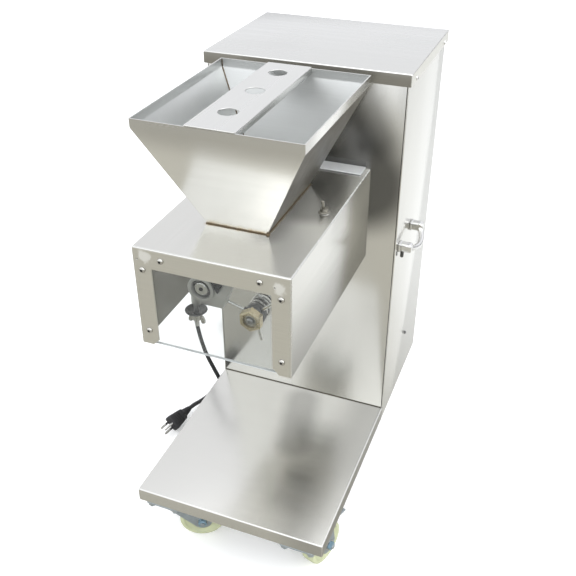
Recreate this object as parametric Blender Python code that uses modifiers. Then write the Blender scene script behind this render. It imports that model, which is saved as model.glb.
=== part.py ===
"""Two-shaft meat cutting machine: hopper and blade box in front of a drive cabinet, on a pan with castors.

Metres, +Z up. The origin is on the floor, under the middle of the machine; the operator stands at -Y.
"""

import math

import bmesh
import bpy
from mathutils import Matrix, Vector

# Driving dimensions
GAP = 0.0003            # between pieces that touch
SHEET = 0.002           # stainless sheet
HALF_WIDTH = 0.155      # pan and cabinet
PAN_FRONT = -0.280
PAN_TOP = 0.129
PAN_BOTTOM = 0.106
CABINET_FRONT = 0.044
CABINET_BACK = 0.282
LID_TOP = 0.7347
LID_FLANGE = 0.0183
LID_OVERHANG = 0.004
PANEL_TOP = LID_TOP - SHEET - GAP

BOX_HALF = 0.1075       # blade box
BOX_FRONT = -0.2828
BOX_BACK = CABINET_FRONT - GAP
BOX_BOTTOM = 0.4362
BOX_TOP = 0.5856
WINDOW_HALF = 0.0815
WINDOW_TOP = 0.5566
GUARD_THICK = 0.004

HOPPER_X = -0.002       # hopper centre
MOUTH_HALF = 0.04325
MOUTH_FRONT = -0.196
MOUTH_BACK = -0.0363
RIM_HALF = 0.1116
RIM_FRONT = -0.2459
RIM_BACK = 0.0092
RIM_TOP = 0.7378
RIM_LIP = 0.012
RIM_WALL = 0.0018
STRIP_THICK = 0.0015

LOWER_AXIS = (-0.0257, 0.5260)      # x and z of each cutter shaft
UPPER_AXIS = (0.0094, 0.5538)
SHAFT_FRONT = -0.259
JOURNAL = 0.00925
SPACER = 0.013
BLADE = 0.025
BLADE_THICK = 0.002
BLADE_COUNT = 10
BLADE_PITCH = 0.0150
FIRST_BLADE = -0.188
FRONT_BRACKET = (-0.261, -0.239)    # y of its two faces
REAR_BRACKET = (-0.020, -0.008)
BRACKET_TOP = BOX_TOP - SHEET - GAP

CLAMP_X = -0.0365
CLAMP_Y = -0.2565
ROD_AXIS = (0.044, 0.4968)
SPOKE_ANGLES = (42.8, 162.8, 282.8)

MOTOR_AXIS = (-0.0257, 0.214)
BELT_PLANE = 0.103
BELT_PITCH_RADII = (0.056, 0.028)   # driven and motor pulleys
BELT_HALF_THICK = 0.0035

CASTER_X = 0.1142
CASTER_Y = (-0.2365, 0.2385)
CASTER_TRAIL = 0.041
WHEEL_RADIUS = 0.0375
WHEEL_HALF = 0.012
PLATE_Z = PAN_BOTTOM - GAP
CASTERS = (
    ("front_left", -CASTER_X, CASTER_Y[0], 25.8, True),
    ("front_right", CASTER_X, CASTER_Y[0], 74.0, True),
    ("rear_left", -CASTER_X, CASTER_Y[1], 193.0, False),
    ("rear_right", CASTER_X, CASTER_Y[1], 180.0, False),
)

CORD_RADIUS = 0.0041
CORD_FLOOR = 0.0043     # height of the cord's centre where it lies on the floor
CORD_SPACING = 0.0205
GLAND = (-HALF_WIDTH, 0.0920, 0.3610)
GLAND_LENGTH = 0.034
CORD_LEAD = (
    (-0.1893, 0.0920, 0.3610),
    (-0.2040, 0.0918, 0.3575),
    (-0.2160, 0.0915, 0.3460),
    (-0.2245, 0.0912, 0.3270),
    (-0.2300, 0.0908, 0.3000),
    (-0.2340, 0.0904, 0.2700),
    (-0.2360, 0.0900, 0.2350),
    (-0.2360, 0.0900, 0.2000),
    (-0.2320, 0.0900, 0.1660),
    (-0.2250, 0.0905, 0.1320),
    (-0.2170, 0.0915, 0.1050),
    (-0.2070, 0.0940, 0.0780),
    (-0.1990, 0.0985, 0.0520),
    (-0.1965, 0.1075, 0.0290),
    (-0.1975, 0.1215, 0.0130),
    (-0.2000, 0.1400, 0.0060),
    (-0.2015, 0.1640, CORD_FLOOR),
    (-0.2030, 0.2000, CORD_FLOOR),
    (-0.2036, 0.2400, CORD_FLOOR),
    (-0.2036, 0.2800, CORD_FLOOR),
    (-0.2035, 0.3115, CORD_FLOOR),
)
CORD_TAIL = (
    (-0.2682, 0.2914, CORD_FLOOR),
    (-0.2510, 0.2668, CORD_FLOOR),
    (-0.2350, 0.2370, CORD_FLOOR),
    (-0.2235, 0.2050, CORD_FLOOR),
    (-0.2160, 0.1750, CORD_FLOOR),
    (-0.2138, 0.1480, CORD_FLOOR),
    (-0.2152, 0.1180, CORD_FLOOR),
    (-0.2192, 0.0880, 0.0058),
    (-0.2238, 0.0610, 0.0110),
    (-0.2277, 0.0420, 0.0160),
    (-0.2309, 0.0262, 0.0180),
)
COIL_CENTRE = (-0.2505, 0.3480)
COIL_RADIUS = 0.0470
COIL_HALF = 0.0086
PLUG_NECK = Vector((-0.2311, 0.0253, 0.0180))
PLUG_DIRECTION = Vector((-0.1981, -0.9800, 0.0194)).normalized()
PLUG_ROLL = 40.0


# Scene, materials and shape helpers

for old in list(bpy.data.objects):
    bpy.data.objects.remove(old, do_unlink=True)

PARTS = bpy.data.collections.new("meat_cutting_machine")
CUTTERS = bpy.data.collections.new("cutters")
bpy.context.scene.collection.children.link(PARTS)
bpy.context.scene.collection.children.link(CUTTERS)


def material(name, colour, roughness, metallic):
    made = bpy.data.materials.new(name)
    made.use_nodes = True
    shader = made.node_tree.nodes["Principled BSDF"]
    shader.inputs["Base Color"].default_value = (*colour, 1.0)
    shader.inputs["Roughness"].default_value = roughness
    shader.inputs["Metallic"].default_value = metallic
    return made


STAINLESS = material("stainless", (0.62, 0.61, 0.58), 0.32, 1.0)
BRIGHT = material("bright_steel", (0.75, 0.75, 0.74), 0.14, 1.0)
ZINC = material("zinc_plate", (0.55, 0.55, 0.54), 0.35, 1.0)
CAST = material("cast_aluminium", (0.60, 0.60, 0.58), 0.45, 1.0)
BRASS = material("brass", (0.78, 0.60, 0.28), 0.30, 1.0)
DARK_STEEL = material("dark_steel", (0.08, 0.08, 0.08), 0.35, 1.0)
IRON = material("cast_iron", (0.16, 0.17, 0.18), 0.55, 0.6)
NYLON = material("cream_nylon", (0.80, 0.72, 0.48), 0.45, 0.0)
RUBBER = material("black_rubber", (0.02, 0.02, 0.02), 0.60, 0.0)
ACRYLIC = material("clear_acrylic", (0.92, 0.94, 0.93), 0.05, 0.0)
PAINT = material("grey_paint", (0.22, 0.25, 0.28), 0.45, 0.0)


def keep(name, mesh, finish, collection=PARTS):
    """Puts a mesh in the scene as the object of that name."""
    obj = bpy.data.objects.new(name, mesh)
    collection.objects.link(obj)
    if finish:
        mesh.materials.append(finish)
    if collection is CUTTERS:
        obj.hide_render = True
        obj.display_type = "WIRE"
    return obj


def shade(obj):
    obj.data.shade_smooth()
    obj.data.set_sharp_from_angle(angle=math.radians(35))
    return obj


def box(name, low, high, finish=None, collection=PARTS):
    """A box between two corners, with its origin at its centre."""
    low, high = Vector(low), Vector(high)
    mesh = bpy.data.meshes.new(name)
    shape = bmesh.new()
    bmesh.ops.create_cube(shape, size=1.0)
    bmesh.ops.scale(shape, vec=high - low, verts=shape.verts)
    shape.to_mesh(mesh)
    shape.free()
    obj = keep(name, mesh, finish, collection)
    obj.location = (low + high) / 2
    return obj


AXES = {
    "X": Matrix.Rotation(math.pi / 2, 4, "Y"),
    "Y": Matrix.Rotation(-math.pi / 2, 4, "X"),
    "Z": Matrix.Identity(4),
}


def rod(name, centre, radius, length, axis="Z", finish=None, sides=24, turn=0.0, collection=PARTS):
    """A cylinder or, with few sides, a prism, centred at a point, with its length along an axis."""
    mesh = bpy.data.meshes.new(name)
    shape = bmesh.new()
    bmesh.ops.create_cone(
        shape,
        cap_ends=True,
        segments=sides,
        radius1=radius,
        radius2=radius,
        depth=length,
        matrix=AXES[axis] @ Matrix.Rotation(math.radians(turn), 4, "Z"),
    )
    shape.to_mesh(mesh)
    shape.free()
    obj = keep(name, mesh, finish, collection)
    obj.location = centre
    return shade(obj)


def turned(name, profile, centre, axis="Z", finish=None, steps=24, closed=True, collection=PARTS):
    """A profile of (radius, height) pairs turned round an axis; the outer side runs downwards."""
    mesh = bpy.data.meshes.new(name)
    shape = bmesh.new()
    points = [shape.verts.new((radius, 0.0, height)) for radius, height in profile]
    for first, second in zip(points, points[1:] + points[:1] if closed else points[1:]):
        shape.edges.new((first, second))
    shape.to_mesh(mesh)
    shape.free()
    obj = keep(name, mesh, finish, collection)
    obj.matrix_world = Matrix.Translation(centre) @ AXES[axis]
    screw = obj.modifiers.new("turn", "SCREW")
    screw.axis = "Z"
    screw.steps = steps
    screw.render_steps = steps
    screw.use_merge_vertices = True
    screw.merge_threshold = 0.00001
    screw.use_smooth_shade = False
    return baked(obj)


def ring(name, inner, outer, low, high, centre, axis="Z", finish=None, steps=24, collection=PARTS):
    """A plain tube between two heights on its axis."""
    profile = ((inner, low), (inner, high), (outer, high), (outer, low))
    return turned(name, profile, centre, axis, finish, steps, True, collection)


def baked(obj):
    """Replaces an object's mesh by its evaluated one and drops its modifiers."""
    bpy.context.view_layer.update()
    graph = bpy.context.evaluated_depsgraph_get()
    mesh = bpy.data.meshes.new_from_object(obj.evaluated_get(graph))
    shape = bmesh.new()
    shape.from_mesh(mesh)
    bmesh.ops.remove_doubles(shape, verts=shape.verts, dist=0.0000002)
    bmesh.ops.recalc_face_normals(shape, faces=shape.faces)
    shape.to_mesh(mesh)
    shape.free()
    obj.modifiers.clear()
    obj.data = mesh
    return shade(obj)


def outline(name, points, thickness, finish=None, holes=(), collection=PARTS):
    """A flat plate in the XZ plane, thickness along Y, from outlines of (x, z) points."""
    curve = bpy.data.curves.new(name, "CURVE")
    curve.dimensions = "2D"
    curve.fill_mode = "BOTH"
    curve.extrude = thickness / 2
    for loop in (points, *holes):
        spline = curve.splines.new("POLY")
        spline.points.add(len(loop) - 1)
        spline.use_cyclic_u = True
        for point, (x, z) in zip(spline.points, loop):
            point.co = (x, z, 0.0, 1.0)
    made = bpy.data.objects.new(name, curve)
    CUTTERS.objects.link(made)
    bpy.context.view_layer.update()
    graph = bpy.context.evaluated_depsgraph_get()
    mesh = bpy.data.meshes.new_from_object(made.evaluated_get(graph))
    bpy.data.objects.remove(made)
    shape = bmesh.new()
    shape.from_mesh(mesh)
    bmesh.ops.remove_doubles(shape, verts=shape.verts, dist=0.000002)
    bmesh.ops.rotate(shape, cent=(0, 0, 0), matrix=Matrix.Rotation(math.pi / 2, 3, "X"), verts=shape.verts)
    bmesh.ops.recalc_face_normals(shape, faces=shape.faces)
    shape.to_mesh(mesh)
    shape.free()
    mesh.materials.clear()
    obj = keep(name, mesh, finish, collection)
    return shade(obj)


def tube(name, points, radius, finish=None, resolution=2):
    """A round bar along points, with closed ends."""
    curve = bpy.data.curves.new(name, "CURVE")
    curve.dimensions = "3D"
    curve.bevel_depth = radius
    curve.bevel_resolution = resolution
    curve.use_fill_caps = True
    spline = curve.splines.new("POLY")
    spline.points.add(len(points) - 1)
    for point, place in zip(spline.points, points):
        point.co = (*place, 1.0)
    spline.use_smooth = True
    obj = bpy.data.objects.new(name, curve)
    PARTS.objects.link(obj)
    curve.materials.append(finish)
    return obj


def tube_mesh(name, points, radius, finish=None, resolution=2):
    """A round bar as a closed mesh, ready to be cut or joined."""
    source = tube(name, points, radius, finish, resolution)
    bpy.context.view_layer.update()
    graph = bpy.context.evaluated_depsgraph_get()
    mesh = bpy.data.meshes.new_from_object(source.evaluated_get(graph))
    bpy.data.objects.remove(source)
    shape = bmesh.new()
    shape.from_mesh(mesh)
    bmesh.ops.remove_doubles(shape, verts=shape.verts, dist=0.000002)
    bmesh.ops.recalc_face_normals(shape, faces=shape.faces)
    shape.to_mesh(mesh)
    shape.free()
    mesh.materials.clear()
    return shade(keep(name, mesh, finish))


def combine(obj, other, operation):
    """Joins or cuts an object by another, and removes the other."""
    change = obj.modifiers.new("join", "BOOLEAN")
    change.operation = operation
    change.object = other
    baked(obj)
    bpy.data.objects.remove(other)
    return obj


def join(obj, *others):
    for other in others:
        combine(obj, other, "UNION")
    return obj


def cut(obj, *others):
    for other in others:
        combine(obj, other, "DIFFERENCE")
    return obj


def cut_box(low, high):
    return box("cut_box", low, high, collection=CUTTERS)


def cut_rod(centre, radius, length, axis="Z", sides=20):
    return rod("cut_rod", centre, radius, length, axis, sides=sides, collection=CUTTERS)


def arc(centre, radius, start, end, count):
    """Points on an arc from one angle to another, in degrees."""
    points = []
    for step in range(count + 1):
        angle = math.radians(start + (end - start) * step / count)
        points.append((centre[0] + radius * math.cos(angle), centre[1] + radius * math.sin(angle)))
    return points


def smooth_path(points, spacing):
    """Points at an even spacing along a smooth curve through the given ones."""
    places = [Vector(point) for point in points]
    places = [2 * places[0] - places[1], *places, 2 * places[-1] - places[-2]]
    fine = []
    for before, start, end, after in zip(places, places[1:], places[2:], places[3:]):
        for step in range(20):
            t = step / 20
            fine.append(
                0.5 * (
                    2 * start
                    + (end - before) * t
                    + (2 * before - 5 * start + 4 * end - after) * t**2
                    + (3 * start - before - 3 * end + after) * t**3
                )
            )
    fine.append(places[-2])
    lengths = [0.0]
    for first, second in zip(fine, fine[1:]):
        lengths.append(lengths[-1] + (second - first).length)
    count = max(2, round(lengths[-1] / spacing))
    path, index = [fine[0]], 1
    for step in range(1, count):
        target = lengths[-1] * step / count
        while lengths[index] < target:
            index += 1
        share = (target - lengths[index - 1]) / (lengths[index] - lengths[index - 1])
        path.append(fine[index - 1].lerp(fine[index], share))
    return [*path, fine[-1]]


# Base and cabinet

def make_base():
    pan = box("base_tray", (-HALF_WIDTH, PAN_FRONT, PAN_BOTTOM), (HALF_WIDTH, CABINET_BACK, PAN_TOP), STAINLESS)
    inside = HALF_WIDTH - SHEET
    cut(
        pan,
        cut_box((-inside, PAN_FRONT + SHEET, PAN_BOTTOM + SHEET), (inside, CABINET_BACK - SHEET, PAN_TOP - SHEET)),
        cut_box((-inside + 0.012, PAN_FRONT + 0.092, 0.1), (inside - 0.012, CABINET_BACK - 0.092, 0.11)),
    )
    for side in (-1, 1):
        edge = sorted((side * (HALF_WIDTH - SHEET - GAP), side * 0.2))
        cut(pan, cut_box((edge[0], CABINET_FRONT - GAP, 0.09), (edge[1], 0.3, 0.14)))
        wall = sorted((side * (HALF_WIDTH - SHEET - GAP), side * (HALF_WIDTH - 2 * SHEET - 2 * GAP)))
        join(pan, box("side", (wall[0], CABINET_FRONT - 0.01, PAN_BOTTOM), (wall[1], CABINET_BACK, PAN_TOP)))
    return pan


def make_cabinet():
    inside = HALF_WIDTH - SHEET - GAP
    low = PAN_TOP + GAP
    front = box(
        "cabinet_front_panel",
        (-inside, CABINET_FRONT, low), (inside, CABINET_FRONT + SHEET, PANEL_TOP), STAINLESS,
    )
    cut(front, cut_rod((LOWER_AXIS[0], CABINET_FRONT, LOWER_AXIS[1]), 0.016, 0.02, "Y"))
    for name, side in (("cabinet_right_panel", 1), ("cabinet_left_panel", -1)):
        across = sorted((side * HALF_WIDTH, side * (HALF_WIDTH - SHEET)))
        panel = box(
            name, (across[0], CABINET_FRONT, PAN_BOTTOM), (across[1], CABINET_BACK, PANEL_TOP), STAINLESS
        )
        if side < 0:
            cut(panel, cut_rod(GLAND, 0.0085, 0.02, "X"))
    rear = box(
        "cabinet_rear_panel",
        (-inside, CABINET_BACK - SHEET, low), (inside, CABINET_BACK, PANEL_TOP), STAINLESS,
    )
    for column in (-1, 1):
        for row in range(5):
            height = 0.18 + 0.018 * row
            centre = column * 0.055
            cut(rear, cut_box((centre - 0.035, 0.27, height), (centre + 0.035, 0.29, height + 0.005)))
    lid_half = HALF_WIDTH + LID_OVERHANG
    lid = box(
        "cabinet_lid",
        (-lid_half, CABINET_FRONT - 0.0035, LID_TOP - LID_FLANGE),
        (lid_half, CABINET_BACK + 0.0035, LID_TOP), STAINLESS,
    )
    skin = 0.0015
    cut(lid, cut_box(
        (-lid_half + skin, CABINET_FRONT - 0.0035 + skin, 0.7),
        (lid_half - skin, CABINET_BACK + 0.0035 - skin, LID_TOP - SHEET),
    ))


def make_handles():
    front, rear, height = 0.064, 0.140, 0.453
    for name, side in (("side_handle_right", 1), ("side_handle_left", -1)):
        wall = side * (HALF_WIDTH + GAP)
        bow = [(wall + side * 0.016, front, height)]
        for step in range(1, 8):
            share = step / 8
            swell = 0.010 * math.sin(math.pi * share)
            bow.append((wall + side * (0.016 + swell), front + (rear - front) * share, height - swell))
        bow.append((wall + side * 0.016, rear, height))
        handle = tube_mesh(name, bow, 0.0045, BRIGHT, 3)
        for place in (front, rear):
            across = sorted((wall, wall + side * 0.022))
            join(handle, box(
                "block", (across[0], place - 0.008, height - 0.007), (across[1], place + 0.008, height + 0.007)
            ))
        join(handle, rod("stop", (wall + side * 0.006, front, height - 0.0125), 0.0028, 0.0130, sides=10))


# Blade box, guard and hopper

GUARD_SCREWS = (
    (-0.067, 0.5715), (0.067, 0.5715),
    (-0.0945, 0.5533), (0.0945, 0.5533),
    (-0.0945, 0.4590), (0.0945, 0.4590),
)


def make_blade_box():
    shell = box("blade_box", (-BOX_HALF, BOX_FRONT, BOX_BOTTOM), (BOX_HALF, BOX_BACK, BOX_TOP), STAINLESS)
    inside = BOX_HALF - SHEET
    cut(
        shell,
        cut_box((-inside, BOX_FRONT + SHEET, 0.4), (inside, 0.06, BOX_TOP - SHEET)),
        cut_box((-WINDOW_HALF, BOX_FRONT - 0.01, 0.4), (WINDOW_HALF, BOX_FRONT + 0.01, WINDOW_TOP)),
        cut_box(
            (HOPPER_X - MOUTH_HALF - GAP, MOUTH_FRONT - GAP, 0.57),
            (HOPPER_X + MOUTH_HALF + GAP, MOUTH_BACK + GAP, 0.6),
        ),
        cut_rod((0.0885, -0.112, BOX_TOP), 0.0063, 0.02),
    )
    for side in (-1, 1):
        corner = outline(
            "corner",
            [
                (side * (WINDOW_HALF - 0.01), BOX_BOTTOM - 0.01),
                (side * (WINDOW_HALF + 0.009), BOX_BOTTOM - 0.01),
                (side * (WINDOW_HALF + 0.009), BOX_BOTTOM),
                (side * (WINDOW_HALF - 0.01), BOX_BOTTOM + 0.020),
            ],
            0.01, collection=CUTTERS,
        )
        corner.location = (0, BOX_FRONT + 0.001, 0)
        cut(shell, corner)
    guard_front = BOX_FRONT + SHEET + GAP
    guard = box(
        "front_guard",
        (-inside + 0.001, guard_front, BOX_BOTTOM + 0.001),
        (inside - 0.001, guard_front + GUARD_THICK, BOX_TOP - SHEET - 0.001), ACRYLIC,
    )
    for number, (x, z) in enumerate(GUARD_SCREWS, 1):
        cut(shell, cut_rod((x, BOX_FRONT, z), 0.0024, 0.01, "Y", 8))
        cut(guard, cut_rod((x, guard_front, z), 0.0024, 0.02, "Y", 8))
        make_guard_screw(number, x, z, guard_front + GUARD_THICK + GAP)


def make_guard_screw(number, x, z, nut_face):
    head = BOX_FRONT - GAP
    profile = (
        (0.0, -0.0027), (0.0, nut_face - head + 0.006), (0.0018, nut_face - head + 0.006),
        (0.0018, nut_face - head + 0.0035), (0.0038, nut_face - head + 0.0035), (0.0038, nut_face - head),
        (0.0018, nut_face - head), (0.0018, 0.0), (0.0035, 0.0), (0.0033, -0.0013), (0.0022, -0.0024),
    )
    turned(f"guard_screw_{number}", profile, (x, head, z), "Y", BRIGHT, 8)


def make_hopper():
    """A tapered open sheet funnel with a straight collar below and a straight lip above."""
    sections = (
        (MOUTH_HALF, MOUTH_FRONT, MOUTH_BACK, 0.5780),
        (MOUTH_HALF, MOUTH_FRONT, MOUTH_BACK, BOX_TOP + 0.001),
        (RIM_HALF, RIM_FRONT, RIM_BACK, RIM_TOP - RIM_LIP),
        (RIM_HALF, RIM_FRONT, RIM_BACK, RIM_TOP),
    )
    mesh = bpy.data.meshes.new("hopper")
    shape = bmesh.new()
    rings = []
    for half, front, back, height in sections:
        corners = ((-half, front), (half, front), (half, back), (-half, back))
        rings.append([shape.verts.new((HOPPER_X + x, y, height)) for x, y in corners])
    for below, above in zip(rings, rings[1:]):
        for index in range(4):
            following = (index + 1) % 4
            shape.faces.new((below[index], below[following], above[following], above[index]))
    shape.to_mesh(mesh)
    shape.free()
    hopper = keep("hopper", mesh, STAINLESS)
    wall = hopper.modifiers.new("wall", "SOLIDIFY")
    wall.thickness = RIM_WALL
    wall.offset = -1.0
    wall.use_even_offset = True
    baked(hopper)
    make_guard_strip()


def make_guard_strip():
    """A channel that lies over the front and rear rims, with its lips between them."""
    under = RIM_TOP + GAP
    strip = box(
        "hopper_guard_strip",
        (-0.041, RIM_FRONT, RIM_TOP - 0.0080), (0.025, RIM_BACK, under + STRIP_THICK), STAINLESS,
    )
    cut(
        strip,
        cut_box((-0.041 + STRIP_THICK, -0.3, 0.70), (0.025 - STRIP_THICK, 0.1, under)),
        cut_box((-0.1, -0.3, 0.70), (0.1, RIM_FRONT + RIM_WALL + GAP, under)),
        cut_box((-0.1, RIM_BACK - RIM_WALL - GAP, 0.70), (0.1, 0.1, under)),
    )
    for y in (-0.1886, -0.1079, -0.0308):
        cut(strip, cut_rod((-0.010, y, RIM_TOP), 0.013, 0.02))


def make_box_fittings():
    box(
        "rear_strip",
        (-0.100, 0.0165, BOX_TOP + GAP), (0.100, CABINET_FRONT - GAP, BOX_TOP + GAP + SHEET), STAINLESS,
    )
    place = Vector((0.0885, -0.112, BOX_TOP))
    body = rod("switch_body", place + Vector((0, 0, 0.0005)), 0.0060, 0.013, "Z", BRIGHT, 16)
    join(
        body,
        rod("nut", place + Vector((0, 0, GAP + 0.0012)), 0.0081, 0.0024, "Z", sides=6),
        box("case", place - Vector((0.0065, 0.0135, 0.026)), place + Vector((0.0065, 0.0135, -SHEET - GAP))),
    )
    cut(body, turned(
        "well",
        ((0.0, 0.0), (0.0, 0.010), (0.0049, 0.010), (0.0036, 0.0)),
        place - Vector((0, 0, 0.002)), "Z", None, 16, True, CUTTERS,
    ))
    lever = turned(
        "switch_lever",
        ((0.0, 0.0), (0.0, 0.0172), (0.0014, 0.0168), (0.0024, 0.0150), (0.0022, 0.0120), (0.0014, 0.0)),
        (0, 0, 0), "Z", BRIGHT, 12,
    )
    pivot = place + Vector((0, 0, 0.0004))
    lever.matrix_world = Matrix.Translation(pivot) @ Matrix.Rotation(math.radians(-10), 4, "Y")


# Cutter set

def axis_point(axis, y):
    return (axis[0], y, axis[1])


def around(axis, radius, degrees):
    angle = math.radians(degrees)
    return (axis[0] + radius * math.cos(angle), axis[1] + radius * math.sin(angle))


def plate_at(name, points, faces, finish=None, holes=(), collection=PARTS):
    """An outline plate between two y values."""
    plate = outline(name, points, faces[1] - faces[0], finish, holes, collection)
    plate.location.y = sum(faces) / 2
    return plate


def make_front_bracket():
    middle = (FRONT_BRACKET[0] + 0.006, FRONT_BRACKET[1])
    points = [
        (-0.0410, 0.4995), (0.0015, 0.4995), (0.0170, 0.5395), (0.0430, 0.5430),
        (0.0430, BRACKET_TOP), (-0.0300, BRACKET_TOP), *arc(LOWER_AXIS, 0.0185, 120, 200, 5),
    ]
    window = [(-0.0128, 0.5390), (0.0050, 0.5385), (-0.0033, 0.5225)]
    bracket = plate_at("front_bearing_bracket", points, middle, CAST, [window])
    depth = FRONT_BRACKET[1] - FRONT_BRACKET[0]
    centre = sum(FRONT_BRACKET) / 2
    join(
        bracket,
        rod("boss", axis_point(LOWER_AXIS, centre - 0.0004), 0.0185, depth - 0.001, "Y", sides=24),
        rod("clamp_boss", (CLAMP_X, CLAMP_Y + 0.0045, 0.5045), 0.0078, 0.0110, "Z", sides=16, turn=5),
        rod("clamp_stud", (CLAMP_X, CLAMP_Y, 0.4835), 0.0030, 0.0380, "Z", sides=12, turn=8),
    )
    cut(
        bracket,
        cut_rod(axis_point(LOWER_AXIS, FRONT_BRACKET[0]), 0.0140, 0.016, "Y", 20),
        cut_rod(axis_point(LOWER_AXIS, centre), JOURNAL + GAP, 0.06, "Y", 18),
        cut_rod(axis_point(UPPER_AXIS, centre), JOURNAL + GAP, 0.06, "Y", 18),
    )


def make_rear_bracket():
    points = [(-0.060, 0.485), (0.060, 0.485), (0.060, BRACKET_TOP), (-0.060, BRACKET_TOP)]
    bracket = plate_at("rear_bearing_bracket", points, REAR_BRACKET, CAST)
    for axis in (LOWER_AXIS, UPPER_AXIS):
        cut(bracket, cut_rod(axis_point(axis, REAR_BRACKET[0]), JOURNAL + GAP, 0.06, "Y", 18))


def shaft_profile(first_blade, end):
    """Half section of a cutter shaft, from its front end to its rear end, with a disc at each pitch."""
    shoulder_front, shoulder_rear = -0.236, -0.0225
    profile = [(JOURNAL, end), (0.0, end), (0.0, SHAFT_FRONT), (JOURNAL, SHAFT_FRONT)]
    profile += [(JOURNAL, shoulder_front), (SPACER, shoulder_front)]
    for number in range(BLADE_COUNT):
        near = first_blade + number * BLADE_PITCH - BLADE_THICK / 2
        far = near + BLADE_THICK
        profile += [(SPACER, near), (BLADE, near), (BLADE, far), (SPACER, far)]
    profile += [(SPACER, shoulder_rear), (JOURNAL, shoulder_rear)]
    return profile


def make_cutter_shafts():
    for name, axis, offset, end in (
        ("cutter_shaft_lower", LOWER_AXIS, 0.0, 0.0125),
        ("cutter_shaft_upper", UPPER_AXIS, BLADE_PITCH / 2, 0.0100),
    ):
        turned(name, shaft_profile(FIRST_BLADE + offset, end), axis_point(axis, 0.0), "Y", BRIGHT, 16)


def make_combs():
    """Flat combs whose teeth stand between the discs, each in a plane through its shaft's axis."""
    low, high = FRONT_BRACKET[1] + GAP, REAR_BRACKET[0] - GAP
    tip, root, back = SPACER + 0.002, BLADE + 0.0015, 0.0315
    for name, axis, degrees, offset in (
        ("comb_lower", LOWER_AXIS, 240.0, 0.0),
        ("comb_upper", UPPER_AXIS, -15.0, BLADE_PITCH / 2),
    ):
        points = [(back, low), (root, low)]
        for number in range(BLADE_COUNT - 1):
            start = FIRST_BLADE + offset + number * BLADE_PITCH + 0.0040
            end = start + BLADE_PITCH - 0.0080
            points += [(root, start), (tip, start), (tip, end), (root, end)]
        points += [(root, high), (back, high)]
        comb = outline(name, points, 0.003, BRIGHT)
        lay_flat = Matrix.Rotation(-math.pi / 2, 4, "X")
        aim = Matrix.Rotation(-math.radians(degrees), 4, "Y")
        comb.matrix_world = Matrix.Translation(axis_point(axis, 0.0)) @ aim @ lay_flat


def make_clamp():
    place = (CLAMP_X, CLAMP_Y, 0.0)
    turned(
        "cup_washer",
        (
            (0.0034, 0.4850), (0.0034, 0.4870), (0.0110, 0.4905), (0.0150, 0.4900), (0.0150, 0.4820),
            (0.0135, 0.4820), (0.0125, 0.4875), (0.0070, 0.4850),
        ),
        place, "Z", DARK_STEEL, 16,
    )
    nut = ring("wing_nut", 0.0034, 0.0065, 0.4710, 0.4845, place, "Z", BRIGHT, 16)
    for side in (-1, 1):
        wing = outline(
            "wing",
            [(side * 0.0050, 0.4780), (side * 0.0110, 0.4660), (side * 0.0155, 0.4670), (side * 0.0145, 0.4720),
             (side * 0.0055, 0.4835)],
            0.003,
        )
        wing.location = place
        join(nut, wing)


def make_tension_set():
    front, rear = -0.2690, REAR_BRACKET[0] - GAP
    collar = -0.1890
    turned(
        "tension_rod",
        (
            (0.0, front), (0.0, rear), (0.0050, rear), (0.0050, collar + 0.004), (0.0150, collar + 0.004),
            (0.0150, collar), (0.0050, collar), (0.0050, front + 0.001), (0.0040, front),
        ),
        axis_point(ROD_AXIS, 0.0), "Y", BRIGHT, 18,
    )
    hub_front = -0.2537
    nut = rod("brass_nut", axis_point(ROD_AXIS, -0.2600), 0.0160, 0.0120, "Y", BRASS, 6, 30)
    cut(
        nut,
        cut_rod(axis_point(ROD_AXIS, -0.26), 0.0053, 0.05, "Y", 18),
        cut_rod(axis_point(ROD_AXIS, -0.2660), 0.0095, 0.005, "Y", 18),
    )
    hub = ring("spoke_hub", 0.0053, 0.0145, hub_front, hub_front + 0.0115, axis_point(ROD_AXIS, 0.0), "Y", DARK_STEEL)
    for degrees in SPOKE_ANGLES:
        inner = around(ROD_AXIS, 0.0095, degrees)
        outer = around(ROD_AXIS, 0.0400, degrees)
        y = hub_front + 0.0057
        join(hub, tube_mesh("spoke", [(inner[0], y, inner[1]), (outer[0], y, outer[1])], 0.0025, BRIGHT))
    start, end = -0.2398, collar - 0.0022
    turns, per_turn, wire = 7, 9, 0.0020
    coil = []
    for step in range(turns * per_turn + 1):
        share = step / (turns * per_turn)
        x, z = around(ROD_AXIS, 0.0130, 360.0 * turns * share)
        coil.append((x, start + (end - start) * share, z))
    tube("tension_spring", coil, wire, DARK_STEEL, 0)


# Drive

def gear_points(axis, phase):
    """Outline of a spur gear whose first tooth points at the phase angle."""
    teeth, root, tip = 22, 0.0198, 0.0240
    points = []
    for number in range(teeth):
        middle = phase + 360.0 * number / teeth
        for radius, half in ((root, -5.0), (tip, -1.7), (tip, 1.7), (root, 5.0)):
            points.append((radius, middle + half))
    return [around(axis, radius, degrees) for radius, degrees in points]


def make_gears():
    dx, dz = UPPER_AXIS[0] - LOWER_AXIS[0], UPPER_AXIS[1] - LOWER_AXIS[1]
    line = math.degrees(math.atan2(dz, dx))
    faces = (-0.0055, 0.0085)
    for name, axis, phase in (
        ("gear_lower", LOWER_AXIS, line),
        ("gear_upper", UPPER_AXIS, line + 180.0 + 180.0 / 22),
    ):
        bore = arc(axis, JOURNAL + GAP, 0, 360, 20)[:-1]
        plate_at(name, gear_points(axis, phase), faces, IRON, [bore])


def grooved_profile(rim, groove, half_width, groove_half, bore):
    return (
        (bore, -half_width), (bore, half_width), (rim, half_width), (rim, groove_half), (groove, groove_half),
        (groove, -groove_half), (rim, -groove_half), (rim, -half_width),
    )


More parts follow.
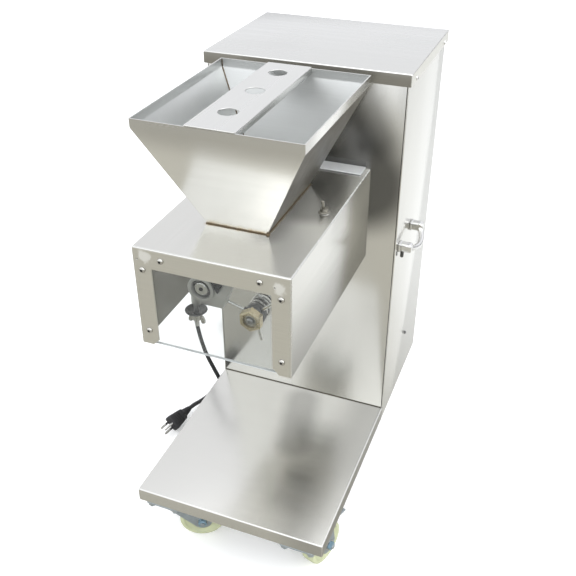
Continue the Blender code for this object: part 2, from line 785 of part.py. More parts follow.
def make_drive():
    ring("spindle_bearing_housing", 0.0128, 0.0270, CABINET_FRONT + SHEET + GAP, 0.0900,
         axis_point(LOWER_AXIS, 0.0), "Y", IRON, 20)
    join(
        bpy.data.objects["spindle_bearing_housing"],
        ring("flange", 0.0200, 0.0420, CABINET_FRONT + SHEET + GAP, 0.0540, axis_point(LOWER_AXIS, 0.0), "Y", None, 20),
    )
    rod("drive_spindle", axis_point(LOWER_AXIS, 0.0655), 0.0125, 0.1050, "Y", BRIGHT, 20)
    driven, motor = BELT_PITCH_RADII
    lip = BELT_HALF_THICK + GAP
    turned(
        "driven_pulley",
        grooved_profile(driven + 0.0035, driven - lip, 0.008, 0.0048, 0.0128),
        axis_point(LOWER_AXIS, BELT_PLANE), "Y", IRON, 24,
    )
    turned(
        "motor_pulley",
        (
            (0.0, 0.100), (0.0095, 0.100), (0.0095, 0.008), (motor + 0.0035, 0.008), (motor + 0.0035, 0.0048),
            (motor - lip, 0.0048), (motor - lip, -0.0048), (motor + 0.0035, -0.0048), (motor + 0.0035, -0.008),
            (0.0, -0.008),
        ),
        axis_point(MOTOR_AXIS, BELT_PLANE), "Y", IRON, 20,
    )
    loops = []
    distance = LOWER_AXIS[1] - MOTOR_AXIS[1]
    lean = math.degrees(math.asin((driven - motor) / distance))
    for side in (BELT_HALF_THICK, -BELT_HALF_THICK):
        loops.append(
            arc(LOWER_AXIS, driven + side, -lean, 180 + lean, 20)
            + arc(MOTOR_AXIS, motor + side, 180 + lean, 360 - lean, 12)
        )
    plate_at("drive_belt", loops[0], (BELT_PLANE - 0.0045, BELT_PLANE + 0.0045), RUBBER, [loops[1]])
    body = rod("motor", axis_point(MOTOR_AXIS, 0.1935), 0.0650, 0.1370, "Y", PAINT, 28)
    foot = box("foot", (MOTOR_AXIS[0] - 0.055, 0.140, PAN_TOP + GAP), (MOTOR_AXIS[0] + 0.055, 0.250, 0.170))
    join(body, foot)
    cut(body, cut_rod(axis_point(MOTOR_AXIS, 0.160), 0.0098, 0.088, "Y", 20))


# Castors

def spun(obj, x, y, degrees):
    """Turns a castor piece made around the origin, with its trail along +X, to its place."""
    obj.data.transform(obj.matrix_world)
    obj.matrix_world = Matrix.Translation((x, y, 0)) @ Matrix.Rotation(math.radians(degrees), 4, "Z")
    return obj


def make_caster(name, x, y, degrees, with_brake):
    race_bottom = PLATE_Z - 0.0095
    plate = box(f"caster_plate_{name}", (-0.030, -0.044, PLATE_Z - 0.003), (0.030, 0.044, PLATE_Z), ZINC)
    join(plate, rod("race", (0, 0, PLATE_Z - 0.0060), 0.0220, 0.0070, "Z", sides=24))
    for across in (-0.021, 0.021):
        for along in (-0.0365, 0.0365):
            join(plate, rod("bolt", (across, along, PLATE_Z - 0.0070), 0.0070, 0.0090, "Z", sides=6))
    spun(plate, x, y, 0.0)

    fork = rod(f"caster_fork_{name}", (0, 0, race_bottom - 0.0020 - GAP), 0.0245, 0.0040, "Z", ZINC, 24)
    cheek_top = race_bottom - 0.0005
    for side in (-1, 1):
        cheek = outline(
            "cheek",
            [
                (-0.0220, cheek_top), (-0.0190, cheek_top - 0.0180), (CASTER_TRAIL - 0.0120, WHEEL_RADIUS - 0.0050),
                *arc((CASTER_TRAIL, WHEEL_RADIUS), 0.0105, 225, 375, 6),
                (CASTER_TRAIL + 0.0040, 0.0700), (0.0235, cheek_top),
            ],
            0.0025,
        )
        cheek.location.y = side * 0.0152
        join(fork, cheek)
    top = box("top", (-0.0150, -0.0164, cheek_top - 0.0030), (0.0235, 0.0164, cheek_top))
    axle = rod("axle", (CASTER_TRAIL, 0, WHEEL_RADIUS), 0.0040, 0.0500, "Y", sides=12)
    head = rod("head", (CASTER_TRAIL, -0.0195, WHEEL_RADIUS), 0.0072, 0.0065, "Y", sides=6)
    nut = rod("nut", (CASTER_TRAIL, 0.0195, WHEEL_RADIUS), 0.0072, 0.0065, "Y", sides=6)
    join(fork, top, axle, head, nut)
    spun(fork, x, y, degrees)

    turn = math.radians(degrees)
    hub = (x + CASTER_TRAIL * math.cos(turn), y + CASTER_TRAIL * math.sin(turn), WHEEL_RADIUS)
    wheel = turned(
        f"caster_wheel_{name}",
        (
            (0.0043, -0.0130), (0.0043, 0.0130), (0.0110, 0.0130), (0.0120, 0.0105), (0.0290, 0.0105),
            (0.0310, WHEEL_HALF), (0.0355, WHEEL_HALF), (WHEEL_RADIUS, 0.0090), (WHEEL_RADIUS, -0.0090),
            (0.0355, -WHEEL_HALF), (0.0310, -WHEEL_HALF), (0.0290, -0.0105), (0.0120, -0.0105), (0.0110, -0.0130),
        ),
        (0, 0, 0), "Y", NYLON, 20,
    )
    wheel.data.transform(wheel.matrix_world)
    wheel.matrix_world = Matrix.Translation(hub) @ Matrix.Rotation(turn, 4, "Z")
    if with_brake:
        make_brake_pedal(name, x, y, degrees)


def make_brake_pedal(name, x, y, degrees):
    """A bent lever over the wheel, pivoting on its cross pin between the fork's cheeks."""
    pivot_along, pivot_height = 0.0300, 0.0835
    pedal = outline(
        f"brake_pedal_{name}",
        [
            (0.0270, 0.0812), (0.0420, 0.0812), (0.0800, 0.0660), (0.0960, 0.0640), (0.0960, 0.0665),
            (0.0810, 0.0690), (0.0430, 0.0865), (0.0270, 0.0865),
        ],
        0.0200, ZINC,
    )
    join(pedal, rod("pin", (pivot_along, 0, pivot_height), 0.0030, 0.0272, "Y", sides=10))
    spun(pedal, x, y, degrees)
    turn = math.radians(degrees)
    offset = Vector((pivot_along, 0, pivot_height))
    pedal.data.transform(Matrix.Translation(-offset))
    place = Matrix.Translation((x, y, 0)) @ Matrix.Rotation(turn, 4, "Z")
    pedal.matrix_world = place @ Matrix.Translation(offset)


# Power cord

def make_cord():
    gland = turned(
        "cord_gland",
        (
            (0.0046, -0.0060), (0.0046, GLAND_LENGTH), (0.0058, GLAND_LENGTH), (0.0080, 0.0100),
            (0.0115, 0.0090), (0.0115, GAP), (0.0082, GAP), (0.0082, -0.0060),
        ),
        (0, 0, 0), "Z", RUBBER, 14,
    )
    gland.matrix_world = Matrix.Translation(GLAND) @ Matrix.Rotation(-math.pi / 2, 4, "Y")
    tube("cord_lead", smooth_path(CORD_LEAD, CORD_SPACING), CORD_RADIUS, RUBBER)
    tube("cord_tail", smooth_path(CORD_TAIL, CORD_SPACING), CORD_RADIUS, RUBBER)
    corner = 0.0035
    half, flat = COIL_HALF, COIL_HALF - corner
    section = (
        (-half, -flat), (-half, flat), (-flat, half), (flat, half), (half, flat), (half, -flat), (flat, -half),
        (-flat, -half),
    )
    turned(
        "cord_coil",
        [(COIL_RADIUS + across, half + GAP + up) for across, up in section],
        (*COIL_CENTRE, 0.0), "Z", RUBBER, 24,
    )
    make_plug()


def make_plug():
    """A moulded three-pin plug: ribbed neck, rectangular body and three flat prongs."""
    neck, body, reach = 0.0180, 0.0550, 0.0220
    plug = turned(
        "power_plug",
        (
            (0.0, 0.0), (0.0052, 0.0), (0.0065, -neck + 0.003), (0.0095, -neck), (0.0095, -neck - 0.006),
            (0.0, -neck - 0.006),
        ),
        (0, 0, 0), "Z", RUBBER, 20,
    )
    join(plug, box("body", (-0.0155, -0.0095, -body), (0.0155, 0.0105, -neck - 0.002)))
    for across, up in ((-0.0065, -0.0040), (0.0065, -0.0040), (0.0, 0.0050)):
        join(plug, box(
            "prong", (across - 0.0022, up - 0.0008, -body - reach), (across + 0.0022, up + 0.0008, -body + 0.002)
        ))
    aim = (-PLUG_DIRECTION).to_track_quat("Z", "Y").to_matrix().to_4x4()
    roll = Matrix.Rotation(math.radians(PLUG_ROLL), 4, "Z")
    plug.matrix_world = Matrix.Translation(PLUG_NECK) @ aim @ roll


def main():
    make_base()
    make_cabinet()
    make_handles()
    make_blade_box()
    make_hopper()
    make_box_fittings()
    make_front_bracket()
    make_rear_bracket()
    make_cutter_shafts()
    make_combs()
    make_clamp()
    make_tension_set()
    make_gears()
    make_drive()
    for caster in CASTERS:
        make_caster(*caster)
    make_cord()


main()
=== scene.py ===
import math

import bmesh
import bpy
from mathutils import Matrix, Vector


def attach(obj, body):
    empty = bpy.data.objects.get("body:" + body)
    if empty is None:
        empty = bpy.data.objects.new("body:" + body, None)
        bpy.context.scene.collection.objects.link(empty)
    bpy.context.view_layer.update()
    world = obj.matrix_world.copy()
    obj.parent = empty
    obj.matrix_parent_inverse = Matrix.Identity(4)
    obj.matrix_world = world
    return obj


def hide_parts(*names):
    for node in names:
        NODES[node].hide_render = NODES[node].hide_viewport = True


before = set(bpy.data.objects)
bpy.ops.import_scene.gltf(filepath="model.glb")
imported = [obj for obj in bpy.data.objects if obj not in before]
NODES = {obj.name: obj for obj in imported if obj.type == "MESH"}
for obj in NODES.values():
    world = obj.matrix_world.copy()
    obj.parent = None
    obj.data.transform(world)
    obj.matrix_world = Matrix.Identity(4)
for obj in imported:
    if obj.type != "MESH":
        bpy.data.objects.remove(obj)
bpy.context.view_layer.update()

# The same dimensions as the frame, in metres
GAP = 0.0003
SHEET = 0.002
HALF_WIDTH = 0.155
PAN_FRONT, PAN_TOP, PAN_BOTTOM = -0.28, 0.129, 0.106
CABINET_FRONT, CABINET_BACK = 0.044, 0.282
LID_TOP, LID_FLANGE, LID_OVERHANG, LID_LAP = 0.7347, 0.0183, 0.004, 0.0035
BOX_HALF, BOX_FRONT, BOX_BACK = 0.1075, -0.2828, 0.0437
BOX_BOTTOM, BOX_TOP = 0.4362, 0.5856
WINDOW_HALF, WINDOW_TOP = 0.0815, 0.5566
HOPPER_X, MOUTH_HALF, MOUTH_FRONT, MOUTH_BACK = -0.002, 0.04325, -0.196, -0.0363
COLLAR_BOTTOM = 0.578
RIM_HALF, RIM_FRONT, RIM_BACK = 0.1116, -0.2459, 0.0092
RIM_TOP, RIM_LIP, RIM_WALL = 0.7378, 0.012, 0.0018
STRIP_LEFT, STRIP_RIGHT, STRIP_THICK = -0.041, 0.025, 0.0015
STRIP_HOLES = ((-0.01, -0.1886), (-0.01, -0.1079), (-0.01, -0.0308))
LOWER_AXIS = (-0.0257, 0.526)
CLAMP = (-0.0365, -0.2565)
ROD_AXIS = (0.044, 0.4968)
ROD_PLACE = (ROD_AXIS[0], 0.0, ROD_AXIS[1])
HUB_FRONT, SPOKE_ANGLES = -0.2537, (42.8, 162.8, 282.8)
SPRING_FRONT, SPRING_BACK, SPRING_RADIUS, SPRING_TURNS = -0.2398, -0.1912, 0.013, 7
BRACKET_FRONT = -0.261
BRACKET_WINDOW = ((-0.0127, 0.5389), (0.0049, 0.5384), (-0.0033, 0.5227))
EDGE_RADIUS = 0.0016
FASCIA_HOLES = ((-0.1006, 0.568), (0.0862, 0.568))
GUARD_SCREWS = (
    (-0.067, 0.5715), (0.067, 0.5715), (-0.0945, 0.5533), (0.0945, 0.5533), (-0.0945, 0.459), (0.0945, 0.459),
)
SWITCH = Vector((0.0885, -0.112, BOX_TOP))
LID_SCREWS, SIDE_SCREW = (0.0705, 0.257), (0.1852, 0.1998)
REAR_SCREW_X, REAR_SCREW_HEIGHTS = 0.14, (0.165, 0.42, 0.68)
LOUVRE_X, LOUVRE_FOOT, LOUVRE_PITCH = 0.055, 0.1855, 0.018
HANDLE_POSTS, HANDLE_HEIGHT, HANDLE_SWELL = (0.064, 0.14), 0.453, 0.0099
CASTER_TRAIL, WHEEL_RADIUS, WHEEL_HALF = 0.041, 0.0375, 0.012
CASTERS = {
    "front_left": (-0.1142, -0.2365, 25.8),
    "front_right": (0.1142, -0.2365, 74.0),
    "rear_left": (-0.1142, 0.2385, 193.0),
    "rear_right": (0.1142, 0.2385, 180.0),
}

# Camera: turn about Z, tilt and roll in degrees, then place and lens
CAMERA_ANGLES = (21.49, 33.19, -0.17)
CAMERA_PLACE, CAMERA_LENS = (0.38378, -0.99548, 1.07357), 48.81

# Cord route, from the gland to the coil and from the coil to the plug
CORD_RADIUS, CORD_FLOOR = 0.0041, 0.0043
GLAND, GLAND_LENGTH = Vector((-HALF_WIDTH, 0.092, 0.361)), 0.034
CORD_LEAD = (
    (-0.1893, 0.092, 0.361), (-0.204, 0.0918, 0.3575), (-0.216, 0.0915, 0.346), (-0.2245, 0.0912, 0.327),
    (-0.23, 0.0908, 0.3), (-0.234, 0.0904, 0.27), (-0.236, 0.09, 0.235), (-0.236, 0.09, 0.2),
    (-0.232, 0.09, 0.166), (-0.225, 0.0905, 0.132), (-0.217, 0.0915, 0.105), (-0.207, 0.094, 0.078),
    (-0.199, 0.0985, 0.052), (-0.1965, 0.1075, 0.029), (-0.1975, 0.1215, 0.013), (-0.2, 0.14, 0.006),
    (-0.2015, 0.164, CORD_FLOOR), (-0.203, 0.2, CORD_FLOOR), (-0.2034, 0.24, CORD_FLOOR),
    (-0.202, 0.28, CORD_FLOOR), (-0.2, 0.3115, CORD_FLOOR),
)
CORD_TAIL = (
    (-0.2682, 0.2914, 0.007), (-0.251, 0.2668, CORD_FLOOR), (-0.235, 0.237, CORD_FLOOR),
    (-0.2235, 0.205, CORD_FLOOR), (-0.216, 0.175, CORD_FLOOR), (-0.2138, 0.148, CORD_FLOOR),
    (-0.2152, 0.118, CORD_FLOOR), (-0.2192, 0.088, 0.0058), (-0.2238, 0.061, 0.011),
    (-0.2277, 0.042, 0.016), (-0.2309, 0.0262, 0.018),
)
COIL_CENTRE = (-0.2505, 0.348)
COIL_RADIUS, COIL_OFFSET = 0.047, 0.0043
COIL_STEP, COIL_END = 22.5, 1290                  # degrees of turn between points, and in all
COIL_LIFT = (-0.2832, 0.3096, 0.0118)             # where the tail comes down off the coil
CORD_ROUNDING = 0.994                             # keeps the smooth curve's low points off the floor
TIE_ANGLE, TIE_THICK, TIE_HALF = 112, 0.0007, 0.0022
PLUG_NECK = Vector((-0.2311, 0.0253, 0.018))
PLUG_DIRECTION = Vector((-0.1981, -0.98, 0.0194)).normalized()
PLUG_ROLL = 40.0


# Camera

def make_camera():
    azimuth, elevation, roll = (math.radians(angle) for angle in CAMERA_ANGLES)
    right = Vector((math.cos(azimuth), math.sin(azimuth), 0.0))
    back = Vector((
        math.sin(azimuth) * math.cos(elevation),
        -math.cos(azimuth) * math.cos(elevation),
        math.sin(elevation),
    ))
    up = back.cross(right)
    across = right * math.cos(roll) + up * math.sin(roll)
    upward = up * math.cos(roll) - right * math.sin(roll)
    data = bpy.data.cameras.new("camera")
    data.lens, data.sensor_width = CAMERA_LENS, 36.0
    camera = bpy.data.objects.new("camera", data)
    bpy.context.scene.collection.objects.link(camera)
    turn = Matrix((across, upward, back)).transposed().to_4x4()
    camera.matrix_world = Matrix.Translation(CAMERA_PLACE) @ turn
    bpy.context.scene.camera = camera


make_camera()


# Material nodes

class Tree:
    """A node tree under construction: short names for the nodes that the finishes share."""

    def __init__(self, tree):
        self.tree = tree

    def add(self, kind, **values):
        node = self.tree.nodes.new(kind)
        for name, value in values.items():
            setattr(node, name, value)
        return node

    def link(self, source, target):
        self.tree.links.new(source, target)

    def feed(self, target, value):
        if hasattr(value, "links"):
            self.link(value, target)
        else:
            target.default_value = value

    def spread(self, value, low, high, to_low=0.0, to_high=1.0):
        node = self.add("ShaderNodeMapRange", interpolation_type="SMOOTHSTEP")
        self.feed(node.inputs["Value"], value)
        for name, number in (("From Min", low), ("From Max", high), ("To Min", to_low), ("To Max", to_high)):
            node.inputs[name].default_value = number
        return node.outputs["Result"]

    def math(self, operation, first, second=0.0):
        node = self.add("ShaderNodeMath", operation=operation)
        self.feed(node.inputs[0], first)
        self.feed(node.inputs[1], second)
        return node.outputs[0]

    def share(self, factor, first, second):
        """A number between two others."""
        node = self.add("ShaderNodeMix")
        for index, value in ((0, factor), (2, first), (3, second)):
            self.feed(node.inputs[index], value)
        return node.outputs[0]

    def mix(self, factor, first, second, blend="MIX"):
        """A colour between two others."""
        node = self.add("ShaderNodeMix", data_type="RGBA", blend_type=blend)
        self.feed(node.inputs[0], factor)
        self.feed(node.inputs[6], first if hasattr(first, "links") else (*first, 1.0))
        self.feed(node.inputs[7], second if hasattr(second, "links") else (*second, 1.0))
        return node.outputs[2]

    def axes(self, place):
        """The three parts of a place or direction."""
        node = self.add("ShaderNodeSeparateXYZ")
        self.link(place, node.inputs[0])
        return node.outputs

    def ray(self, kind):
        """One for the rays of a kind, such as Glossy, and nothing for the others."""
        return self.add("ShaderNodeLightPath").outputs[f"Is {kind} Ray"]


class Finish(Tree):
    """A material under construction."""

    def __init__(self, name, roughness=0.5, metallic=0.0):
        self.material = bpy.data.materials.new(name)
        self.material.use_nodes = True
        super().__init__(self.material.node_tree)
        self.shader = self.tree.nodes["Principled BSDF"]
        self.shader.inputs["Roughness"].default_value = roughness
        self.shader.inputs["Metallic"].default_value = metallic
        self.place = self.add("ShaderNodeTexCoord").outputs["Object"]

    def noise(self, scale, stretch=(1, 1, 1), detail=3.0, rough=0.55, seed=0.0):
        mapping = self.add("ShaderNodeMapping")
        mapping.inputs["Scale"].default_value = stretch
        mapping.inputs["Location"].default_value = (seed, seed * 1.7, seed * 0.6)
        self.link(self.place, mapping.inputs["Vector"])
        noise = self.add("ShaderNodeTexNoise")
        noise.inputs["Scale"].default_value = scale
        noise.inputs["Detail"].default_value = detail
        noise.inputs["Roughness"].default_value = rough
        self.link(mapping.outputs[0], noise.inputs["Vector"])
        return noise.outputs["Fac"]

    def from_segment(self, start, end):
        """Distance from the straight stretch between two points."""
        start, end = Vector(start), Vector(end)
        along = (end - start).normalized()
        offset = self.add("ShaderNodeVectorMath", operation="SUBTRACT")
        self.link(self.place, offset.inputs[0])
        offset.inputs[1].default_value = start
        reach = self.add("ShaderNodeVectorMath", operation="DOT_PRODUCT")
        self.link(offset.outputs[0], reach.inputs[0])
        reach.inputs[1].default_value = along
        share = self.math("MAXIMUM", self.math("MINIMUM", reach.outputs["Value"], (end - start).length), 0.0)
        nearest = self.add("ShaderNodeVectorMath", operation="SCALE")
        nearest.inputs[0].default_value = along
        self.link(share, nearest.inputs["Scale"])
        gap = self.add("ShaderNodeVectorMath", operation="DISTANCE")
        self.link(offset.outputs[0], gap.inputs[0])
        self.link(nearest.outputs[0], gap.inputs[1])
        return gap.outputs["Value"]

    def bump(self, height, strength, distance):
        node = self.add("ShaderNodeBump")
        node.inputs["Strength"].default_value = strength
        node.inputs["Distance"].default_value = distance
        self.link(height, node.inputs["Height"])
        self.link(node.outputs[0], self.shader.inputs["Normal"])

    def glow(self, strength):
        """A lift that only other metal sees, in place of the light that many reflections would bring."""
        self.shader.inputs["Emission Color"].default_value = (1.0, 1.0, 0.98, 1.0)
        shown = self.math("MULTIPLY", self.ray("Glossy"), strength)
        self.feed(self.shader.inputs["Emission Strength"], shown)

    def colour(self, value):
        self.feed(self.shader.inputs["Base Color"], value if hasattr(value, "links") else (*value, 1.0))

    def rough(self, value):
        self.feed(self.shader.inputs["Roughness"], value)


GRAIN = {"X": (14.0, 1500.0, 1500.0), "Y": (1500.0, 14.0, 1500.0), "Z": (1500.0, 1500.0, 14.0)}


def scaled(tone, share):
    return tuple(channel * share for channel in tone)


def brushed(name, along="X", tone=(0.66, 0.655, 0.625), rough=0.28, streak=0.03, seed=0.0, tint_lines=(),
            tint_reach=0.01, patches=(), mirrored=None, glow=0.0, shades=()):
    """Brushed stainless sheet: fine grain along one axis, faint marks, and heat tint beside its welds.

    A patch is (place, reach) of ground metal. A shade is (start, end, near, far, strength), a soft painted
    shade round a stretch, paler in reflections. The mirrored tone and the glow are painted light: a lighter
    tone and a lift that only other metal sees of the sheet.
    """
    made = Finish(name, rough, 1.0)
    grain = made.noise(1.0, GRAIN[along], 3.0, 0.55, seed)
    bands = made.noise(0.05, GRAIN[along], 3.0, 0.5, seed + 3.0)
    marks = made.noise(7.0, (1, 1, 1), 1.0, 0.5, seed + 7.0)
    base = made.mix(made.spread(grain, 0.3, 0.7), scaled(tone, 1.0 - streak), tone)
    base = made.mix(made.spread(bands, 0.35, 0.7, 0.0, 0.35), base, scaled(tone, 0.95))
    base = made.mix(made.spread(marks, 0.5, 0.85, 0.0, 0.25), base, scaled(tone, 0.8))
    finish = made.math("ADD", made.spread(bands, 0.3, 0.7, rough - 0.02, rough + 0.02),
                       made.spread(marks, 0.4, 0.85, 0.0, 0.04))
    if tint_lines:
        distance = made.from_segment(*tint_lines[0])
        for line in tint_lines[1:]:
            distance = made.math("MINIMUM", distance, made.from_segment(*line))
        uneven = made.spread(made.noise(160.0, seed=seed), 0.3, 0.7, -0.001, 0.0012)
        ragged = made.math("ADD", distance, uneven)
        straw = made.spread(ragged, 0.0, tint_reach, 0.75, 0.0)
        brown = made.spread(ragged, 0.0, tint_reach * 0.35, 0.85, 0.0)
        base = made.mix(straw, base, (0.8, 0.7, 0.52), "MULTIPLY")
        base = made.mix(brown, base, (0.6, 0.46, 0.32), "MULTIPLY")
        finish = made.math("ADD", finish, made.spread(ragged, 0.0, tint_reach, 0.12, 0.0))
    for place, reach in patches:
        away = made.math("ADD", made.from_segment(place, Vector(place) + Vector((0, 0, 0.0001))),
                         made.spread(made.noise(110.0, seed=seed + 2.0), 0.3, 0.7, -0.0025, 0.0025))
        ground = made.spread(away, reach * 0.6, reach, 0.85, 0.0)
        base = made.mix(ground, base, (0.82, 0.82, 0.8))
        finish = made.math("ADD", finish, made.math("MULTIPLY", ground, 0.22))
    # Painted shade: each shade darkens the colour round its stretch, less where other metal sees it
    for start, end, near, far, strength in shades:
        away = made.spread(made.from_segment(start, end), near, far, 1.0 - strength, 1.0)
        paler = made.spread(away, 0.0, 1.0, 0.72, 1.0)
        away = made.mix(made.ray("Glossy"), away, paler)
        base = made.mix(1.0, base, away, "MULTIPLY")
    # Painted light: other metal sees the lighter mirrored tone in place of the sheet's own
    if mirrored:
        base = made.mix(made.ray("Glossy"), base, mirrored)
    made.glow(glow)
    made.colour(base)
    made.rough(finish)
    return made.material


def plated(name, tone, rough, seed=0.0, mottling=0.08, metallic=1.0, glow=0.0):
    """Plated or polished metal with a faint mottle."""
    made = Finish(name, rough, metallic)
    mottle = made.noise(140.0, seed=seed)
    wear = made.noise(30.0, seed=seed + 5.0)
    made.colour(made.mix(made.spread(mottle, 0.3, 0.7), scaled(tone, 1 - mottling), tone))
    made.rough(made.spread(wear, 0.3, 0.75, rough * 0.8, rough * 1.3))
    made.bump(mottle, 0.05, 0.0002)
    made.glow(glow)
    return made.material


def grained(name, tone, rough, metallic, pits, stain, depth, darkest, reach):
    """Metal or moulding with a fine pitted surface and slow cloudy stains."""
    made = Finish(name, rough, metallic)
    bumps = made.noise(pits[0], detail=2.0)
    cloud = made.noise(stain[0], seed=stain[1])
    made.colour(made.mix(made.spread(cloud, 0.3, 0.7), scaled(tone, darkest), tone))
    made.rough(made.spread(cloud, 0.3, 0.7, rough + reach[0], rough + reach[1]))
    made.bump(bumps, pits[1], depth)
    return made.material


def cast(name, tone, rough, metallic, grain=700.0, strength=0.35):
    """Rough cast or welded metal."""
    return grained(name, tone, rough, metallic, (grain, strength), (45.0, 4.0), 0.0004, 0.8, (-0.06, 0.06))


def plastic(name, tone, rough):
    """Moulded plastic, rubber or paint."""
    return grained(name, tone, rough, 0.0, (900.0, 0.12), (38.0, 2.0), 0.0003, 0.86, (-0.05, 0.08))


def clear_sheet(name):
    """Clear acrylic: mostly see-through, with a soft reflection and faint wiping marks."""
    made = Finish(name)
    see = made.add("ShaderNodeBsdfTransparent")
    see.inputs["Color"].default_value = (0.86, 0.87, 0.865, 1.0)
    gloss = made.add("ShaderNodeBsdfGlossy")
    gloss.inputs["Roughness"].default_value = 0.06
    haze = made.add("ShaderNodeBsdfDiffuse")
    haze.inputs["Color"].default_value = (0.86, 0.88, 0.88, 1.0)
    fresnel = made.add("ShaderNodeFresnel")
    fresnel.inputs["IOR"].default_value = 1.42
    outside = made.math("SUBTRACT", 1.0, made.add("ShaderNodeNewGeometry").outputs["Backfacing"])
    clear, dusty = made.add("ShaderNodeMixShader"), made.add("ShaderNodeMixShader")
    for target, *sources in (
        (clear, made.math("MULTIPLY", fresnel.outputs[0], outside), see.outputs[0], gloss.outputs[0]),
        (dusty, made.spread(made.noise(22.0), 0.35, 0.75, 0.01, 0.03), clear.outputs[0], haze.outputs[0]),
    ):
        for index, source in enumerate(sources):
            made.link(source, target.inputs[index])
    made.link(dusty.outputs[0], made.tree.nodes["Material Output"].inputs["Surface"])
    return made.material


HOPPER_CORNERS = tuple(
    (
        (HOPPER_X + side * MOUTH_HALF, MOUTH_BACK, BOX_TOP),
        (HOPPER_X + side * RIM_HALF, RIM_BACK, RIM_TOP - RIM_LIP),
    )
    for side in (-1, 1)
)
MOUTH_LINES = (
    ((HOPPER_X - MOUTH_HALF, MOUTH_FRONT, BOX_TOP), (HOPPER_X + MOUTH_HALF, MOUTH_FRONT, BOX_TOP)),
    ((HOPPER_X + MOUTH_HALF, MOUTH_FRONT, BOX_TOP), (HOPPER_X + MOUTH_HALF, MOUTH_BACK, BOX_TOP)),
)

FASCIA_CORNERS = (((-0.089, BOX_FRONT, 0.5735), 0.0105), ((0.093, BOX_FRONT, 0.568), 0.0095))

# Painted shade: the deck is darkened along its right edge and in a patch below the blade box
STEEL_DECK = brushed("steel_deck", "X", rough=0.22, seed=1.0, shades=(
    ((HALF_WIDTH, PAN_FRONT, PAN_TOP), (HALF_WIDTH, CABINET_FRONT, PAN_TOP), 0.02, 0.095, 0.28),
    ((0.015, 0.013, PAN_TOP), (0.039, -0.098, PAN_TOP), 0.012, 0.045, 0.3),
))
# The tray's side faces: a darker copy of the deck steel, painted shade
STEEL_SKIRT = brushed("steel_skirt", "Y", (0.37, 0.365, 0.34), 0.3, seed=14.0)
STEEL_LID = brushed("steel_lid", "X", (0.665, 0.665, 0.645), 0.25, 0.02, 2.0)
# The lid's front and rear flanges: a much darker copy of the lid steel, painted shade
STEEL_FLANGE = brushed("steel_flange", "X", (0.3, 0.29, 0.265), 0.3, 0.06, 11.0)
# The bends' own tone: painted light, for the highlight lines along edges and the hopper's rim
STEEL_EDGE = brushed("steel_edge", "X", (0.64, 0.64, 0.62), 0.26, 0.02, 12.0)
STEEL_PANEL = brushed("steel_panel", "Z", rough=0.19, seed=3.0)
# Painted shade: the cabinet front is darkened behind the hopper and beside the rim's right corner
STEEL_FRONT = brushed("steel_front", "Z", rough=0.19, seed=3.0, shades=(
    ((-0.02, CABINET_FRONT, 0.705), (0.095, CABINET_FRONT, 0.56), 0.045, 0.105, 0.78),
    ((0.088, CABINET_FRONT, 0.694), (0.112, CABINET_FRONT, 0.635), 0.012, 0.048, 0.42),
))
STEEL_FACE = brushed("steel_face", "X", (0.65, 0.64, 0.595), 0.33, 0.05, 4.0, patches=FASCIA_CORNERS)
# Inside of the blade box: a dark tone, painted shade, with a lighter mirrored tone that only reflections see,
# painted light
STEEL_INNER = brushed(
    "steel_inner", "Y", (0.26, 0.255, 0.235), 0.34, 0.08, 8.0, mirrored=(0.85, 0.85, 0.84), glow=0.42,
)
STEEL_FUNNEL = brushed("steel_funnel", "X", (0.63, 0.64, 0.63), 0.4, 0.04, 13.0, HOPPER_CORNERS, 0.0035)
# Painted shade: the box top is darkened right of the mouth towards the rear and beside the mouth's right
# weld, and the right side towards its lower and rear edges. The tint lines are heat tint round the mouth
# weld.
STEEL_BOX = brushed("steel_box", "Y", rough=0.21, seed=5.0, tint_lines=MOUTH_LINES, tint_reach=0.006, shades=(
    ((0.066, -0.11, BOX_TOP), (0.066, BOX_BACK - 0.05, BOX_TOP), 0.018, 0.055, 0.46),
    (MOUTH_LINES[1][0], MOUTH_LINES[1][1], 0.004, 0.034, 0.34),
    ((BOX_HALF, BOX_FRONT, BOX_BOTTOM), (BOX_HALF, BOX_BACK, BOX_BOTTOM), 0.0, 0.13, 0.52),
    ((BOX_HALF, BOX_BACK, BOX_BOTTOM), (BOX_HALF, BOX_BACK, BOX_TOP), 0.0, 0.09, 0.12),
))
# Painted light and shade: the hopper's outer walls take a lighter tone than the other sheet, darkened in a
# band along the top of the front wall
STEEL_HOPPER = brushed(
    "steel_hopper", "X", (0.76, 0.755, 0.725), 0.23, seed=6.0, tint_lines=MOUTH_LINES, tint_reach=0.003,
    shades=(((-RIM_HALF, RIM_FRONT, RIM_TOP), (RIM_HALF, RIM_FRONT, RIM_TOP), 0.01, 0.055, 0.26),), glow=0.2,
)
REAR_STEEL = plated("rear_strip_steel", (0.6, 0.61, 0.61), 0.4, 10.0, 0.05, 0.35)
# The hopper's right outer wall: a near-black copy of the hopper steel, painted shade, with a lighter mirrored
# tone that only reflections see
STEEL_FLANK = brushed(
    "steel_flank", "X", (0.1, 0.093, 0.08), 0.3, seed=6.5, mirrored=(0.54, 0.535, 0.51), glow=0.11,
    tint_lines=MOUTH_LINES, tint_reach=0.0045,
)
STEEL_STRIP = brushed("steel_strip", "Y", (0.68, 0.68, 0.66), 0.28, 0.02, 7.0)
SWITCH_STEEL = plated("switch_steel", (0.26, 0.25, 0.22), 0.16, 8.2)
SCREW_STEEL = plated("screw_steel", (0.5, 0.49, 0.46), 0.14, 8.0)
CHROME = plated("chrome", (0.72, 0.72, 0.71), 0.13, 1.0)
POLISHED = plated("polished_steel", (0.66, 0.655, 0.63), 0.18, 2.0)
ZINC = plated("zinc_plate", (0.35, 0.39, 0.41), 0.36, 3.0, 0.14, 0.7)
BLUE_ZINC = plated("blue_zinc", (0.3, 0.44, 0.54), 0.3, 3.5, 0.2, 0.8)
